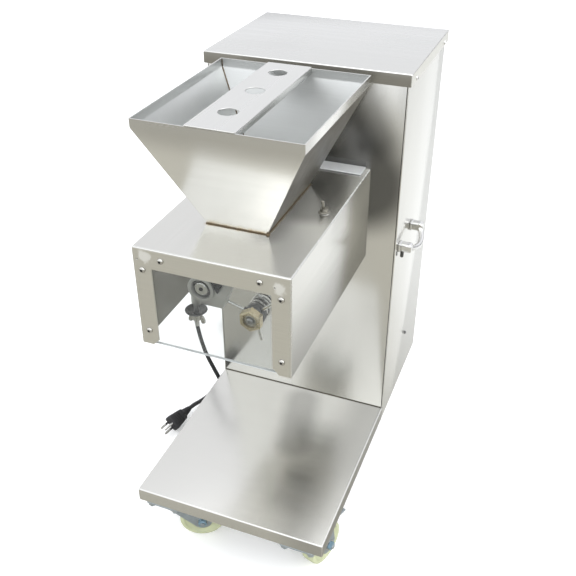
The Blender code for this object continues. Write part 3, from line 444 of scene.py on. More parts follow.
BRASS = plated("brass", (0.56, 0.48, 0.315), 0.27, 4.0, 0.16)
NUT_FACE = plated("nut_face", (0.47, 0.455, 0.4), 0.34, 9.5, 0.15)
COIL_STEEL = plated("coil_steel", (0.56, 0.555, 0.54), 0.22, 9.2, 0.12)
CUTTER_STEEL = plated("cutter_steel", (0.66, 0.655, 0.63), 0.18, 2.0, glow=0.3)
SPRING_STEEL = plated("spring_steel", (0.36, 0.355, 0.34), 0.2, 9.0, 0.2)
DARK_METAL = plated("dark_metal", (0.12, 0.12, 0.12), 0.34, 5.0, 0.25)
# Near black, painted shade: the floors of sockets and holes and the dark behind the bracket's window
RECESS_SHADE = plated("recess", (0.03, 0.03, 0.03), 0.6, 6.0, 0.2, 0.4)
WELD = cast("weld_bead", (0.15, 0.115, 0.075), 0.42, 0.9, 260.0, 0.5)
CASTING = cast("cast_aluminium", (0.6, 0.6, 0.59), 0.42, 0.95)
IRON = cast("iron", (0.15, 0.16, 0.17), 0.52, 0.7)
PAINT = plastic("grey_paint", (0.2, 0.23, 0.26), 0.4)
RUBBER = plastic("black_rubber", (0.022, 0.022, 0.024), 0.52)
NYLON = plastic("cream_nylon", (0.47, 0.495, 0.31), 0.38)
# A dark strip: painted shadow under the cabinet front's lower edge
SEAM_SHADOW = plastic("seam_shadow", (0.17, 0.15, 0.11), 0.6)
FROSTED = plastic("sawn_acrylic", (0.66, 0.68, 0.68), 0.5)
ACRYLIC = clear_sheet("clear_acrylic")


# Mesh helpers

def publish(name, shape, finish, smooth=30.0, matrix=None):
    """Makes an object from a bmesh, in the frame's own coordinates."""
    mesh = bpy.data.meshes.new(name)
    bmesh.ops.recalc_face_normals(shape, faces=shape.faces)
    shape.to_mesh(mesh)
    shape.free()
    if matrix is not None:
        mesh.transform(matrix)
    for one in finish if isinstance(finish, (list, tuple)) else (finish,):
        mesh.materials.append(one)
    obj = bpy.data.objects.new(name, mesh)
    bpy.context.scene.collection.objects.link(obj)
    mesh.shade_smooth()
    mesh.set_sharp_from_angle(angle=math.radians(smooth))
    return obj


def applied(obj, smooth=30.0):
    """Applies an object's modifiers."""
    bpy.context.view_layer.update()
    graph = bpy.context.evaluated_depsgraph_get()
    mesh = bpy.data.meshes.new_from_object(obj.evaluated_get(graph))
    obj.modifiers.clear()
    obj.data = mesh
    mesh.shade_smooth()
    mesh.set_sharp_from_angle(angle=math.radians(smooth))
    return obj


def merged(name, pieces):
    """Joins several objects into the first, keeping each one's materials."""
    first = pieces[0]
    shape = bmesh.new()
    finishes = []
    for piece in pieces:
        mesh = piece.data.copy()
        mesh.transform(piece.matrix_world)
        slots = []
        for finish in piece.data.materials:
            if finish not in finishes:
                finishes.append(finish)
            slots.append(finishes.index(finish))
        start = len(shape.faces)
        shape.from_mesh(mesh)
        shape.faces.ensure_lookup_table()
        for face in shape.faces[start:]:
            face.material_index = slots[min(face.material_index, len(slots) - 1)]
    mesh = bpy.data.meshes.new(name)
    shape.to_mesh(mesh)
    shape.free()
    for piece in pieces[1:]:
        bpy.data.objects.remove(piece)
    first.name = name
    first.data = mesh
    first.matrix_world = Matrix.Identity(4)
    for finish in finishes:
        mesh.materials.append(finish)
    return first


def bevelled(obj, width, segments=2, angle=30.0):
    bevel = obj.modifiers.new("bevel", "BEVEL")
    bevel.width = width
    bevel.segments = segments
    bevel.limit_method = "ANGLE"
    bevel.angle_limit = math.radians(angle)
    return applied(obj)


def thickened(obj, thickness, inner, smooth=30.0):
    """Gives an open surface its sheet thickness, inwards; inner is the material step of its inside."""
    wall = obj.modifiers.new("wall", "SOLIDIFY")
    wall.thickness = thickness
    wall.offset = -1.0
    wall.use_even_offset = True
    wall.material_offset = inner
    return applied(obj, smooth)


def cuboid(low, high):
    shape = bmesh.new()
    bmesh.ops.create_cube(shape, size=1.0)
    low, high = Vector(low), Vector(high)
    bmesh.ops.scale(shape, vec=high - low, verts=shape.verts)
    bmesh.ops.translate(shape, vec=(low + high) / 2, verts=shape.verts)
    return shape


def block(name, low, high, finish, bevel=0.0006, segments=2):
    """A rectangular piece with eased edges."""
    return bevelled(publish(name, cuboid(low, high), finish), bevel, segments)


def skin(shape, rings, wrap=False):
    """Faces between neighbouring rings of vertices, and from the last to the first if they wrap."""
    count = len(rings[0])
    for below, above in zip(rings, rings[1:] + (rings[:1] if wrap else [])):
        for step in range(count):
            following = (step + 1) % count
            shape.faces.new((below[step], below[following], above[following], above[step]))


def capped(shape, rings):
    """A closed skin over rings of vertices."""
    skin(shape, rings)
    shape.faces.new(rings[0])
    shape.faces.new(rings[-1])


def drum(radius, low, high):
    """The profile of a plain solid cylinder."""
    return [(0.0, low), (radius, low), (radius, high), (0.0, high)]


AXES = {
    "X": Matrix.Rotation(math.pi / 2, 4, "Y"),
    "Y": Matrix.Rotation(-math.pi / 2, 4, "X"),
    "Z": Matrix.Identity(4),
}


def lathe(name, profile, finish, place=(0, 0, 0), axis="Z", steps=40, matrix=None, bevel=0.0):
    """A profile of (radius, height) pairs turned round an axis; ends on the axis are closed."""
    shape = bmesh.new()
    rings = []
    for radius, height in profile:
        if radius < 1e-6:
            rings.append([shape.verts.new((0, 0, height))])
        else:
            rings.append([
                shape.verts.new((
                    radius * math.cos(2 * math.pi * step / steps),
                    radius * math.sin(2 * math.pi * step / steps),
                    height,
                ))
                for step in range(steps)
            ])
    closed = profile[0][0] > 1e-6
    for below, above in zip(rings, rings[1:] + (rings[:1] if closed else [])):
        for step in range(steps):
            following = (step + 1) % steps
            corners = [below[step % len(below)], below[following % len(below)],
                       above[following % len(above)], above[step % len(above)]]
            unique = [corner for index, corner in enumerate(corners) if corner not in corners[:index]]
            if len(unique) > 2:
                shape.faces.new(unique)
    obj = publish(name, shape, finish, matrix=matrix or (Matrix.Translation(place) @ AXES[axis]))
    return bevelled(obj, bevel) if bevel else obj


def from_curve(name, curve, finish, smooth, matrix):
    """A curve's surface as a mesh with welded caps."""
    made = bpy.data.objects.new(name, curve)
    bpy.context.scene.collection.objects.link(made)
    bpy.context.view_layer.update()
    mesh = bpy.data.meshes.new_from_object(made.evaluated_get(bpy.context.evaluated_depsgraph_get()))
    bpy.data.objects.remove(made)
    shape = bmesh.new()
    shape.from_mesh(mesh)
    bmesh.ops.remove_doubles(shape, verts=shape.verts, dist=1e-6)
    bpy.data.meshes.remove(mesh)
    return publish(name, shape, finish, smooth, matrix)


def plate(name, points, thickness, finish, holes=(), bevel=0.0004, matrix=None):
    """A flat plate with eased edges from an outline in its own XY plane, centred on that plane."""
    curve = bpy.data.curves.new(name, "CURVE")
    curve.dimensions = "2D"
    curve.fill_mode = "BOTH"
    curve.extrude = thickness / 2 - bevel
    curve.bevel_depth = bevel
    curve.bevel_resolution = 1
    curve.offset = -bevel
    for loop in (points, *holes):
        spline = curve.splines.new("POLY")
        spline.points.add(len(loop) - 1)
        spline.use_cyclic_u = True
        for point, (x, y) in zip(spline.points, loop):
            point.co = (x, y, 0.0, 1.0)
    return from_curve(name, curve, finish, 15.0, matrix)


UPRIGHT = Matrix.Rotation(math.pi / 2, 4, "X")     # takes an outline's (x, y) to (x, z), its face to -Y


def ring_points(centre, radius, count=32, turn=0.0):
    return [
        (centre[0] + radius * math.cos(turn + 2 * math.pi * step / count),
         centre[1] + radius * math.sin(turn + 2 * math.pi * step / count))
        for step in range(count)
    ]


def round_curve(name, points, radius, resolution, steps, smooth=True):
    """A round bar through points, along a smooth line or with straight runs."""
    curve = bpy.data.curves.new(name, "CURVE")
    curve.dimensions = "3D"
    curve.bevel_depth = radius
    curve.bevel_resolution = resolution
    curve.use_fill_caps = True
    curve.resolution_u = steps
    spline = curve.splines.new("BEZIER" if smooth else "POLY")
    if smooth:
        spline.bezier_points.add(len(points) - 1)
        for point, place in zip(spline.bezier_points, points):
            point.co = place
            point.handle_left_type = point.handle_right_type = "AUTO"
    else:
        spline.points.add(len(points) - 1)
        for point, place in zip(spline.points, points):
            point.co = (*place, 1.0)
    return curve


def tube(name, points, radius, finish, sides=12, smooth=True):
    line = round_curve(name, points, radius, max(0, sides // 4 - 1), 4, smooth)
    return from_curve(name, line, finish, 40.0, None)


def hexagon(name, across_flats, low, high, finish, place=(0, 0, 0), axis="Z", turn=0.0, bore=0.0,
            matrix=None):
    """A hexagon nut or head with a chamfered rim, and a bore through it."""
    radius = across_flats / math.sqrt(3)
    corner = radius * 0.14
    shape = bmesh.new()
    levels = (
        (low, radius - corner), (low + corner * 0.5, radius),
        (high - corner * 0.5, radius), (high, radius - corner),
    )
    rings = [
        [shape.verts.new((x, y, height)) for x, y in ring_points((0, 0), reach, 6, math.radians(turn))]
        for height, reach in levels
    ]
    skin(shape, rings)
    if bore:
        inner = [
            [shape.verts.new((x, y, height)) for x, y in ring_points((0, 0), bore, 24, math.radians(turn))]
            for height in (low, high)
        ]
        for step in range(24):
            following = (step + 1) % 24
            shape.faces.new((inner[0][step], inner[1][step], inner[1][following], inner[0][following]))
            for level, outer in ((inner[0], rings[0]), (inner[1], rings[-1])):
                side, next_side = step // 4, (step // 4 + 1) % 6
                if step % 4 == 3:
                    shape.faces.new((level[step], level[following], outer[next_side], outer[side]))
                else:
                    shape.faces.new((level[step], level[following], outer[side]))
    else:
        shape.faces.new(rings[0])
        shape.faces.new(rings[-1])
    return publish(name, shape, finish, 20.0, matrix or (Matrix.Translation(place) @ AXES[axis]))


def folded(name, low, high, finish, open_sides, bend=0.0022, thickness=SHEET, edge=0.0003, inner=None):
    """A folded sheet tray or cover: a box open on some sides, with rounded bends."""
    shape = cuboid(low, high)
    shape.faces.ensure_lookup_table()
    gone = [
        face for face in shape.faces
        if any(face.normal["XYZ".index(side[1])] * float(side[0] + "1") > 0.9 for side in open_sides)
    ]
    bmesh.ops.delete(shape, geom=gone, context="FACES_ONLY")
    bmesh.ops.delete(shape, geom=[line for line in shape.edges if not line.link_faces], context="EDGES")
    bends = [line for line in shape.edges if len(line.link_faces) == 2]
    bmesh.ops.bevel(
        shape, geom=bends, offset=bend, segments=4, profile=0.5, affect="EDGES", clamp_overlap=True,
    )
    obj = publish(name, shape, (finish, inner) if inner else finish)
    thickened(obj, thickness, 1 if inner else 0)
    if edge:
        bevelled(obj, edge, 1, 60.0)
    paint_bend_highlights(obj)
    return obj


def paint_bend_highlights(obj):
    """Gives the rounded bends and eased edges outside a sheet piece a tone of their own: painted light,
    setting the highlight lines along the bends apart from the sheet.
    """
    obj.data.materials.append(STEEL_EDGE)
    last = len(obj.data.materials) - 1
    for face in obj.data.polygons:
        if face.material_index == 0 and max(abs(part) for part in face.normal) < 0.98:
            face.material_index = last


def formed(node, finish, width=0.0006, segments=2, body="root", angle=28.0):
    """The frame's own piece with eased edges."""
    shape = bmesh.new()
    shape.from_mesh(NODES[node].data)
    bmesh.ops.remove_doubles(shape, verts=shape.verts, dist=2e-6)
    bmesh.ops.dissolve_limit(
        shape, angle_limit=math.radians(1.0), verts=shape.verts, edges=shape.edges,
        use_dissolve_boundaries=False,
    )
    for face in shape.faces:
        face.material_index = 0
    return placed(bevelled(publish(f"{node}_formed", shape, finish), width, segments, angle), body, node)


def placed(obj, body, *nodes, slot=None):
    """Rides a piece on its body, in place of the frame's nodes."""
    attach(obj, body)
    if nodes:
        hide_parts(*nodes)
    return obj


def repaint(node, finish):
    """Gives a frame node its finish."""
    for index in range(len(NODES[node].material_slots)):
        NODES[node].material_slots[index].link = "OBJECT"
        NODES[node].material_slots[index].material = finish


def minus(obj, cutter):
    change = obj.modifiers.new("cut", "BOOLEAN")
    change.operation = "DIFFERENCE"
    change.object = cutter
    change.solver = "EXACT"
    applied(obj)
    bpy.data.objects.remove(cutter)
    return obj


# Power cord, gland and plug

def smoothstep(value, low, high):
    share = min(1.0, max(0.0, (value - low) / (high - low)))
    return share * share * (3 - 2 * share)


def coil_point(angle):
    """A point of the coil, wound outside and inside on the floor, then inside and outside on top."""
    inward = smoothstep(angle, 322, 356) - smoothstep(angle, 958, 1004)
    raised = smoothstep(angle, 645, 702)
    radius = COIL_RADIUS + COIL_OFFSET * (1 - 2 * inward)
    height = CORD_FLOOR + 2 * COIL_OFFSET * raised
    turn = math.radians(angle)
    return (COIL_CENTRE[0] + radius * math.cos(turn), COIL_CENTRE[1] + radius * math.sin(turn), height)


def make_cord():
    coil = [coil_point(COIL_STEP * step) for step in range(round(COIL_END / COIL_STEP) + 1)]
    points = [tuple(GLAND + Vector((-GLAND_LENGTH, 0, 0))), *CORD_LEAD[1:], *coil, COIL_LIFT, *CORD_TAIL]
    curve = round_curve("power_cord", points, CORD_RADIUS * CORD_ROUNDING, 3, 5)
    curve.materials.append(RUBBER)
    cord = bpy.data.objects.new("power_cord", curve)
    bpy.context.scene.collection.objects.link(cord)
    return placed(cord, "root", "cord_lead", "cord_coil", "cord_tail", slot="black_rubber")


def make_tie():
    """A twist tie round the coil's four strands."""
    turn = math.radians(TIE_ANGLE)
    out = Vector((math.cos(turn), math.sin(turn), 0))
    along = Vector((-out.y, out.x, 0))
    centre = Vector((*COIL_CENTRE, 0)) + out * COIL_RADIUS + Vector((0, 0, CORD_FLOOR + COIL_OFFSET))
    half = COIL_OFFSET + CORD_RADIUS + 0.0002
    outline = []
    for start, across, up in ((0, 1, 1), (90, -1, 1), (180, -1, -1), (270, 1, -1)):
        for step in range(5):
            angle = math.radians(start + 22.5 * step)
            outline.append((
                across * (half - CORD_RADIUS) + CORD_RADIUS * math.cos(angle),
                up * (half - CORD_RADIUS) + CORD_RADIUS * math.sin(angle),
            ))
    shape = bmesh.new()
    rings = []
    for reach, side in ((0.0, -1), (TIE_THICK, -1), (TIE_THICK, 1), (0.0, 1)):
        ring = []
        for across, up in outline:
            scale = 1 + reach / half
            place = centre + out * across * scale + Vector((0, 0, up * scale)) + along * side * TIE_HALF
            place.z = max(place.z, 0.00005)
            ring.append(shape.verts.new(place))
        rings.append(ring)
    skin(shape, rings, wrap=True)
    return placed(publish("cord_tie", shape, DARK_METAL), "root", slot="black_rubber")


def make_gland():
    """A strain relief: a hexagon nut against the panel and a ribbed boot."""
    profile = [(0.0, -0.006), (0.008, -0.006), (0.008, 0.0003), (0.0112, 0.0003), (0.0115, 0.001),
               (0.0115, 0.0082), (0.0108, 0.009), (0.0078, 0.0094)]
    for rib in range(6):
        start = 0.0105 + 0.004 * rib
        reach = 0.0078 - 0.00032 * rib
        groove = reach - 0.0011
        for radius, further in ((reach, 0.0), (reach, 0.0021), (groove, 0.0024), (groove, 0.0036)):
            profile.append((radius, start + further))
    profile += [(0.0058, GLAND_LENGTH - 0.0005), (0.0052, GLAND_LENGTH), (0.0, GLAND_LENGTH)]
    turn = Matrix.Translation(GLAND) @ Matrix.Rotation(-math.pi / 2, 4, "Y")
    nut = hexagon("gland_nut", 0.0215, 0.0004, 0.008, RUBBER, matrix=turn)
    boot = lathe("gland_boot", profile, RUBBER, matrix=turn, steps=28)
    return placed(merged("strain_relief", [boot, nut]), "root", "cord_gland", slot="black_rubber")


def make_plug():
    """A moulded plug with a ribbed neck, finger grips, two flat blades and an earth pin."""
    neck, body, reach = 0.018, 0.055, 0.022
    pose = Matrix.Translation(PLUG_NECK) @ (-PLUG_DIRECTION).to_track_quat("Z", "Y").to_matrix().to_4x4()
    pose = pose @ Matrix.Rotation(math.radians(PLUG_ROLL), 4, "Z")
    profile = [(0.0, 0.0), (0.005, 0.0)]
    for rib in range(4):
        start, size = -0.0008 - 0.004 * rib, 0.0056 + 0.0008 * rib
        groove = size - 0.0009
        profile += [(size, start), (size, start - 0.0022), (groove, start - 0.0026), (groove, start - 0.0036)]
    profile += [(0.0093, -neck), (0.0093, -neck - 0.004), (0.0, -neck - 0.004)]
    boot = lathe("plug_boot", profile, RUBBER, steps=24)
    case = block("plug_case", (-0.0155, -0.0095, -body), (0.0155, 0.0105, -neck - 0.0015), RUBBER, 0.004, 4)
    for vert in case.data.vertices:
        share = smoothstep(vert.co.z, -body + 0.012, -neck)
        vert.co.x *= 1 - 0.3 * share
        vert.co.y = 0.0005 + (vert.co.y - 0.0005) * (1 - 0.16 * share)
    pieces = [boot, case]
    root, tip = -body + 0.002, -body - reach
    for side in (-1, 1):
        face = side * 0.0098 + 0.0005
        for number in range(3):
            height = -body + 0.012 + 0.005 * number
            low, high = (-0.0095, face - 0.0006, height), (0.0095, face + 0.0006, height + 0.0022)
            pieces.append(block("grip", low, high, RUBBER, 0.0004))
    for across in (-0.0065, 0.0065):
        low, high = (across - 0.0022, -0.0048, tip), (across + 0.0022, -0.0032, root)
        pieces.append(block("blade", low, high, CHROME, 0.0005))
    profile = [(0.0, root), (0.0022, root), (0.0022, tip + 0.002), (0.0014, tip), (0.0, tip)]
    pieces.append(lathe("pin", profile, CHROME, (0.0, 0.005, 0.0), steps=16))
    plug = merged("mains_plug", pieces)
    plug.data.transform(pose)
    return placed(plug, "root", "power_plug", slot="black_rubber")


CORD = make_cord()
TIE = make_tie()
STRAIN_RELIEF = make_gland()
PLUG = make_plug()


# Base tray and cabinet

def make_base_tray():
    """A folded pan, narrower where the cabinet stands over it, with turned-in flanges and welded corners."""
    inside, joint = HALF_WIDTH - SHEET - GAP, CABINET_FRONT - 0.0004
    front = folded("deck", (-HALF_WIDTH, PAN_FRONT, PAN_BOTTOM), (HALF_WIDTH, joint, PAN_TOP),
                   STEEL_DECK, ("-Z", "+Y"), 0.0024, edge=0)
    # Painted shade: the tray's side faces take the darker skirt copy of the steel
    front.data.materials.append(STEEL_SKIRT)
    for face in front.data.polygons:
        if face.material_index == 0 and abs(face.normal.x) > 0.98:
            face.material_index = 2
    rear = folded("deck_rear", (-inside, joint, PAN_BOTTOM), (inside, CABINET_BACK, PAN_TOP),
                  STEEL_DECK, ("-Z", "-Y"), 0.002)
    pieces = [front, rear]
    for side in (-1, 1):
        left, right = sorted((side * (inside - 0.0022), side * (inside - 0.014)))
        low, high = (left, PAN_FRONT + 0.006, PAN_BOTTOM), (right, CABINET_BACK - 0.006, PAN_BOTTOM + 0.0018)
        pieces.append(block("return", low, high, STEEL_FACE))
    placed(merged("base_tray_sheet", pieces), "root", "base_tray", slot="stainless_sheet")
    inset = 0.0011
    for word, side in (("left", -1), ("right", 1)):
        line = [
            (side * (HALF_WIDTH - inset), PAN_FRONT + inset, height)
            for height in (PAN_BOTTOM + 0.001, PAN_BOTTOM + 0.011, PAN_TOP - 0.0024)
        ]
        placed(tube(f"tray_corner_weld_{word}", line, 0.0009, POLISHED, 8), "root", slot="stainless_sheet")


def facing(side, place):
    """A pose with +Z out of a side face."""
    return Matrix.Translation(place) @ Matrix.Rotation(side * math.pi / 2, 4, "Y")


def pan_head(name, radius, height, finish, matrix, recess=0.45):
    """A domed screw head with a hexagon socket, its top along +Z."""
    inner = radius * recess
    head = lathe(name, [
        (inner, height * 0.35), (inner, height * 0.98), (inner * 1.15, height),
        (radius * 0.72, height * 0.86),
        (radius * 0.93, height * 0.52), (radius, height * 0.18), (radius, 0.0), (inner, 0.0),
    ], finish, matrix=matrix, steps=24)
    # The socket's floor in near black: painted shade
    floor = lathe("floor", drum(inner * 1.05, height * 0.3, 0.0), RECESS_SHADE, matrix=matrix, steps=6)
    return merged(name, [head, floor])


def make_cabinet():
    inside = HALF_WIDTH - SHEET - GAP
    front = block("front_sheet", (-inside + 0.0004, CABINET_FRONT, PAN_TOP + 0.0016),
                  (inside - 0.0004, CABINET_FRONT + SHEET, LID_TOP - SHEET - GAP), STEEL_FRONT, 0.0004)
    place = (LOWER_AXIS[0], CABINET_FRONT, LOWER_AXIS[1])
    minus(front, lathe("hole", drum(0.016, -0.01, 0.01), STEEL_FRONT, place, "Y", 32))
    # Painted shadow: a dark strip in the gap under the front sheet, along its joint with the tray
    dark_band = block("seam", (-inside, CABINET_FRONT + 0.0012, PAN_TOP + 0.0002),
                 (inside, CABINET_FRONT + 0.004, PAN_TOP + 0.004), SEAM_SHADOW, 0.0003)
    sheet = merged("cabinet_front_sheet", [front, dark_band])
    placed(sheet, "root", "cabinet_front_panel", slot="stainless_sheet")
    formed("cabinet_left_panel", STEEL_PANEL)
    formed("cabinet_right_panel", STEEL_PANEL)
    formed("cabinet_rear_panel", STEEL_PANEL, 0.0004, 1)


def make_lid():
    half = HALF_WIDTH + LID_OVERHANG
    lid = folded("cabinet_lid_sheet", (-half, CABINET_FRONT - LID_LAP, LID_TOP - LID_FLANGE),
                 (half, CABINET_BACK + LID_LAP, LID_TOP), STEEL_LID, ("-Z",), 0.002, 0.0015)
    lid.data.materials.append(STEEL_FACE)
    lid.data.materials.append(STEEL_FLANGE)
    # Painted shade: the front and rear flanges take the dark flange copy, the side flanges the fascia steel
    for face in lid.data.polygons:
        if face.material_index == 0 and abs(face.normal.z) < 0.5:
            face.material_index = 3 if abs(face.normal.y) > 0.5 else 2
    placed(lid, "root", "cabinet_lid", slot="stainless_sheet")


def make_cabinet_screws():
    lid_half, lid_height = HALF_WIDTH + LID_OVERHANG, LID_TOP - 0.0135
    outwards = [(side, y) for side in (-1, 1) for y in LID_SCREWS]
    screws = [
        (f"lid_screw_{number}", (0.0036, 0.0019, CHROME, facing(side, (side * lid_half, y, lid_height))))
        for number, (side, y) in enumerate(outwards, 1)
    ]
    screws += [
        (f"side_screw_{word}", (0.003, 0.0016, DARK_METAL, facing(side, (side * HALF_WIDTH, *SIDE_SCREW))))
        for word, side in (("left", -1), ("right", 1))
    ]
    backwards = Matrix.Rotation(-math.pi / 2, 4, "X")
    rear = [(x, z) for x in (-REAR_SCREW_X, REAR_SCREW_X) for z in REAR_SCREW_HEIGHTS]
    screws += [
        (
            f"rear_screw_{number}",
            (0.0036, 0.0019, CHROME, Matrix.Translation((x, CABINET_BACK, z)) @ backwards),
        )
        for number, (x, z) in enumerate(rear, 1)
    ]
    for name, form in screws:
        placed(pan_head(name, *form), "root", slot="bright_steel")


def make_louvres():
    """Two columns of pressed louvres, each a hood that closes towards its ends."""
    profile = [(0.0, 0.0), (0.0, 0.0075), (0.0012, 0.0072), (0.003, 0.005), (0.0042, 0.0)]
    stations = ((-0.037, 0.15), (-0.034, 1.0), (0.034, 1.0), (0.037, 0.15))
    louvres = []
    for x in (-LOUVRE_X, LOUVRE_X):
        for row in range(5):
            z = LOUVRE_FOOT + LOUVRE_PITCH * row
            shape = bmesh.new()
            capped(shape, [
                [shape.verts.new((x + across, CABINET_BACK + out * depth, z + up)) for out, up in profile]
                for across, depth in stations
            ])
            louvres.append(publish("louvre", shape, STEEL_PANEL, 50.0))
    placed(merged("rear_louvres", louvres), "root", slot="stainless_sheet")


def make_handles():
    """Bowed lifting handles held in two end blocks."""
    front, rear = HANDLE_POSTS
    collar = [(0.0, -0.0012), (0.0058, -0.0012), (0.0062, 0.0), (0.0058, 0.0012), (0.0, 0.0012)]
    for word, side in (("right", 1), ("left", -1)):
        wall = side * (HALF_WIDTH + GAP)
        middle = wall + side * 0.016
        bow = [(middle, front + 0.001, HANDLE_HEIGHT)]
        for share in (step / 8 for step in range(1, 8)):
            swell = HANDLE_SWELL * math.sin(math.pi * share) ** 0.8
            bow.append((middle + side * swell, front + (rear - front) * share, HANDLE_HEIGHT - swell))
        bow.append((middle, rear - 0.001, HANDLE_HEIGHT))
        pieces = [tube("bar", bow, 0.0046, CHROME, 16)]
        for place, inward in ((front, 1), (rear, -1)):
            for name, reach, half, under, over, bevel, segments in (
                ("foot", (0.0, 0.0042), 0.008, 0.007, 0.007, 0.001, 2),
                ("ear", (0.003, 0.0215), 0.0068, 0.0066, 0.0068, 0.0026, 3),
            ):
                left, right = sorted(wall + side * out for out in reach)
                pieces.append(block(
                    name,
                    (left, place - half, HANDLE_HEIGHT - under), (right, place + half, HANDLE_HEIGHT + over),
                    CHROME, bevel, segments,
                ))
            spot = (middle, place + inward * 0.0064, HANDLE_HEIGHT)
            pieces.append(lathe("collar", collar, POLISHED, spot, "Y", 24))
        pin = [(0.0, -0.019), (0.002, -0.019), (0.0028, -0.0178), (0.0028, -0.0066), (0.0, -0.0066)]
        pieces.append(lathe("stop", pin, DARK_METAL, (wall + side * 0.006, front, HANDLE_HEIGHT), steps=20))
        placed(merged(f"handle_{word}", pieces), "root", f"side_handle_{word}", slot="bright_steel")


# Blade box, hopper and guard

def make_blade_box():
    """A folded cover with the hopper's mouth cut in it, and a fascia round the window with ground corners and
    a rounded front edge in the bends' tone, a painted highlight.
    """
    low, high = (-BOX_HALF, BOX_FRONT + EDGE_RADIUS, BOX_BOTTOM), (BOX_HALF, BOX_BACK, BOX_TOP)
    cover = folded("blade_box_cover", low, high, STEEL_BOX, ("-Z", "-Y", "+Y"), 0.0024, inner=STEEL_INNER)
    low = (HOPPER_X - MOUTH_HALF - GAP, MOUTH_FRONT - GAP, BOX_TOP - 0.0156)
    high = (HOPPER_X + MOUTH_HALF + GAP, MOUTH_BACK + GAP, BOX_TOP + 0.0144)
    minus(cover, block("mouth", low, high, STEEL_BOX, 0.0002, 1))
    placed(cover, "root", "blade_box", slot="stainless_sheet")
    edge, edge_top = BOX_HALF - EDGE_RADIUS, BOX_TOP - EDGE_RADIUS
    left = [
        (-edge, BOX_BOTTOM), (-WINDOW_HALF - 0.009, BOX_BOTTOM), (-WINDOW_HALF, BOX_BOTTOM + 0.0095),
        (-WINDOW_HALF, WINDOW_TOP - 0.001), (-WINDOW_HALF + 0.001, WINDOW_TOP),
    ]
    outline = [*left, *((-x, z) for x, z in reversed(left)), (edge, edge_top), (-edge, edge_top)]
    holes = [ring_points(place, 0.0012, 12) for place in FASCIA_HOLES]
    front = Matrix.Translation((0, BOX_FRONT + SHEET / 2, 0)) @ UPRIGHT
    fascia = plate("blade_box_fascia", outline, SHEET, STEEL_FACE, holes, 0.0005, front)
    placed(fascia, "root", "blade_box", slot="stainless_sheet")
    # A rounded edge round the fascia's sides and top in the bends' tone: a painted highlight line
    corners = ((-edge, BOX_BOTTOM + 0.0002), (-edge, edge_top), (edge, edge_top), (edge, BOX_BOTTOM + 0.0002))
    line = [(x, BOX_FRONT + EDGE_RADIUS, z) for x, z in corners]
    edge = tube("fascia_edge_highlight", line, EDGE_RADIUS, STEEL_EDGE, 16, False)
    placed(edge, "root", slot="stainless_sheet")


def make_guard_screws():
    for number, (x, z) in enumerate(GUARD_SCREWS, 1):
        front = Matrix.Translation((x, BOX_FRONT - 0.0002, z)) @ Matrix.Rotation(math.pi / 2, 4, "X")
        head = pan_head("head", 0.0043, 0.0026, SCREW_STEEL, front, 0.42)
        shank = lathe("shank", drum(0.0019, 0.0002, -0.0125), POLISHED, matrix=front, steps=16)
        nut = hexagon("nut", 0.007, -0.0098, -0.0068, POLISHED, matrix=front)
        screw = merged(f"pan_screw_{number}", [head, shank, nut])
        placed(screw, "root", f"guard_screw_{number}", slot="bright_steel")


def make_guard_edge():
    """The sawn lower edge of the clear guard, paler than the sheet itself."""
    reach = BOX_HALF - SHEET - 0.0012
    front = BOX_FRONT + SHEET + GAP
    low, high = (-reach, front + 0.0001, BOX_BOTTOM + 0.001), (reach, front + 0.0039, BOX_BOTTOM + 0.0019)
    placed(block("guard_sawn_edge", low, high, FROSTED, 0.0002, 1), "root", slot="clear_acrylic")


def make_hopper():
    """The funnel's four walls as one welded sheet, with rounded folds at the lip."""
    shape = bmesh.new()
    rings = []
    for half, front, back, height in (
        (MOUTH_HALF, MOUTH_FRONT, MOUTH_BACK, COLLAR_BOTTOM),
        (MOUTH_HALF, MOUTH_FRONT, MOUTH_BACK, BOX_TOP + 0.001),
        (RIM_HALF, RIM_FRONT, RIM_BACK, RIM_TOP - RIM_LIP),
        (RIM_HALF, RIM_FRONT, RIM_BACK, RIM_TOP),
    ):
        corners = ((-half, front), (half, front), (half, back), (-half, back))
        rings.append([shape.verts.new((HOPPER_X + x, y, height)) for x, y in corners])
    skin(shape, rings)
    shape.normal_update()
    folds = [line for line in shape.edges if len(line.link_faces) == 2]
    bmesh.ops.bevel(
        shape, geom=folds, offset=0.0014, segments=3, profile=0.5, affect="EDGES", clamp_overlap=True,
    )
    hopper = publish("hopper_funnel", shape, (STEEL_HOPPER, STEEL_FUNNEL), 12.0)
    thickened(hopper, RIM_WALL, 1, 12.0)
    bevelled(hopper, 0.0003, 1, 60.0)
    # The rim's top takes the bends' tone, painted light, and the right outer wall below the lip the dark
    # flank copy, painted shade
    hopper.data.materials.append(STEEL_EDGE)
    hopper.data.materials.append(STEEL_FLANK)
    for face in hopper.data.polygons:
        if face.center.z > RIM_TOP - 0.0012:
            face.material_index = 2
        elif face.material_index == 0 and face.normal.x > 0.8 and face.center.z < RIM_TOP - RIM_LIP:
            face.material_index = 3
    placed(hopper, "root", "hopper", slot="stainless_sheet")


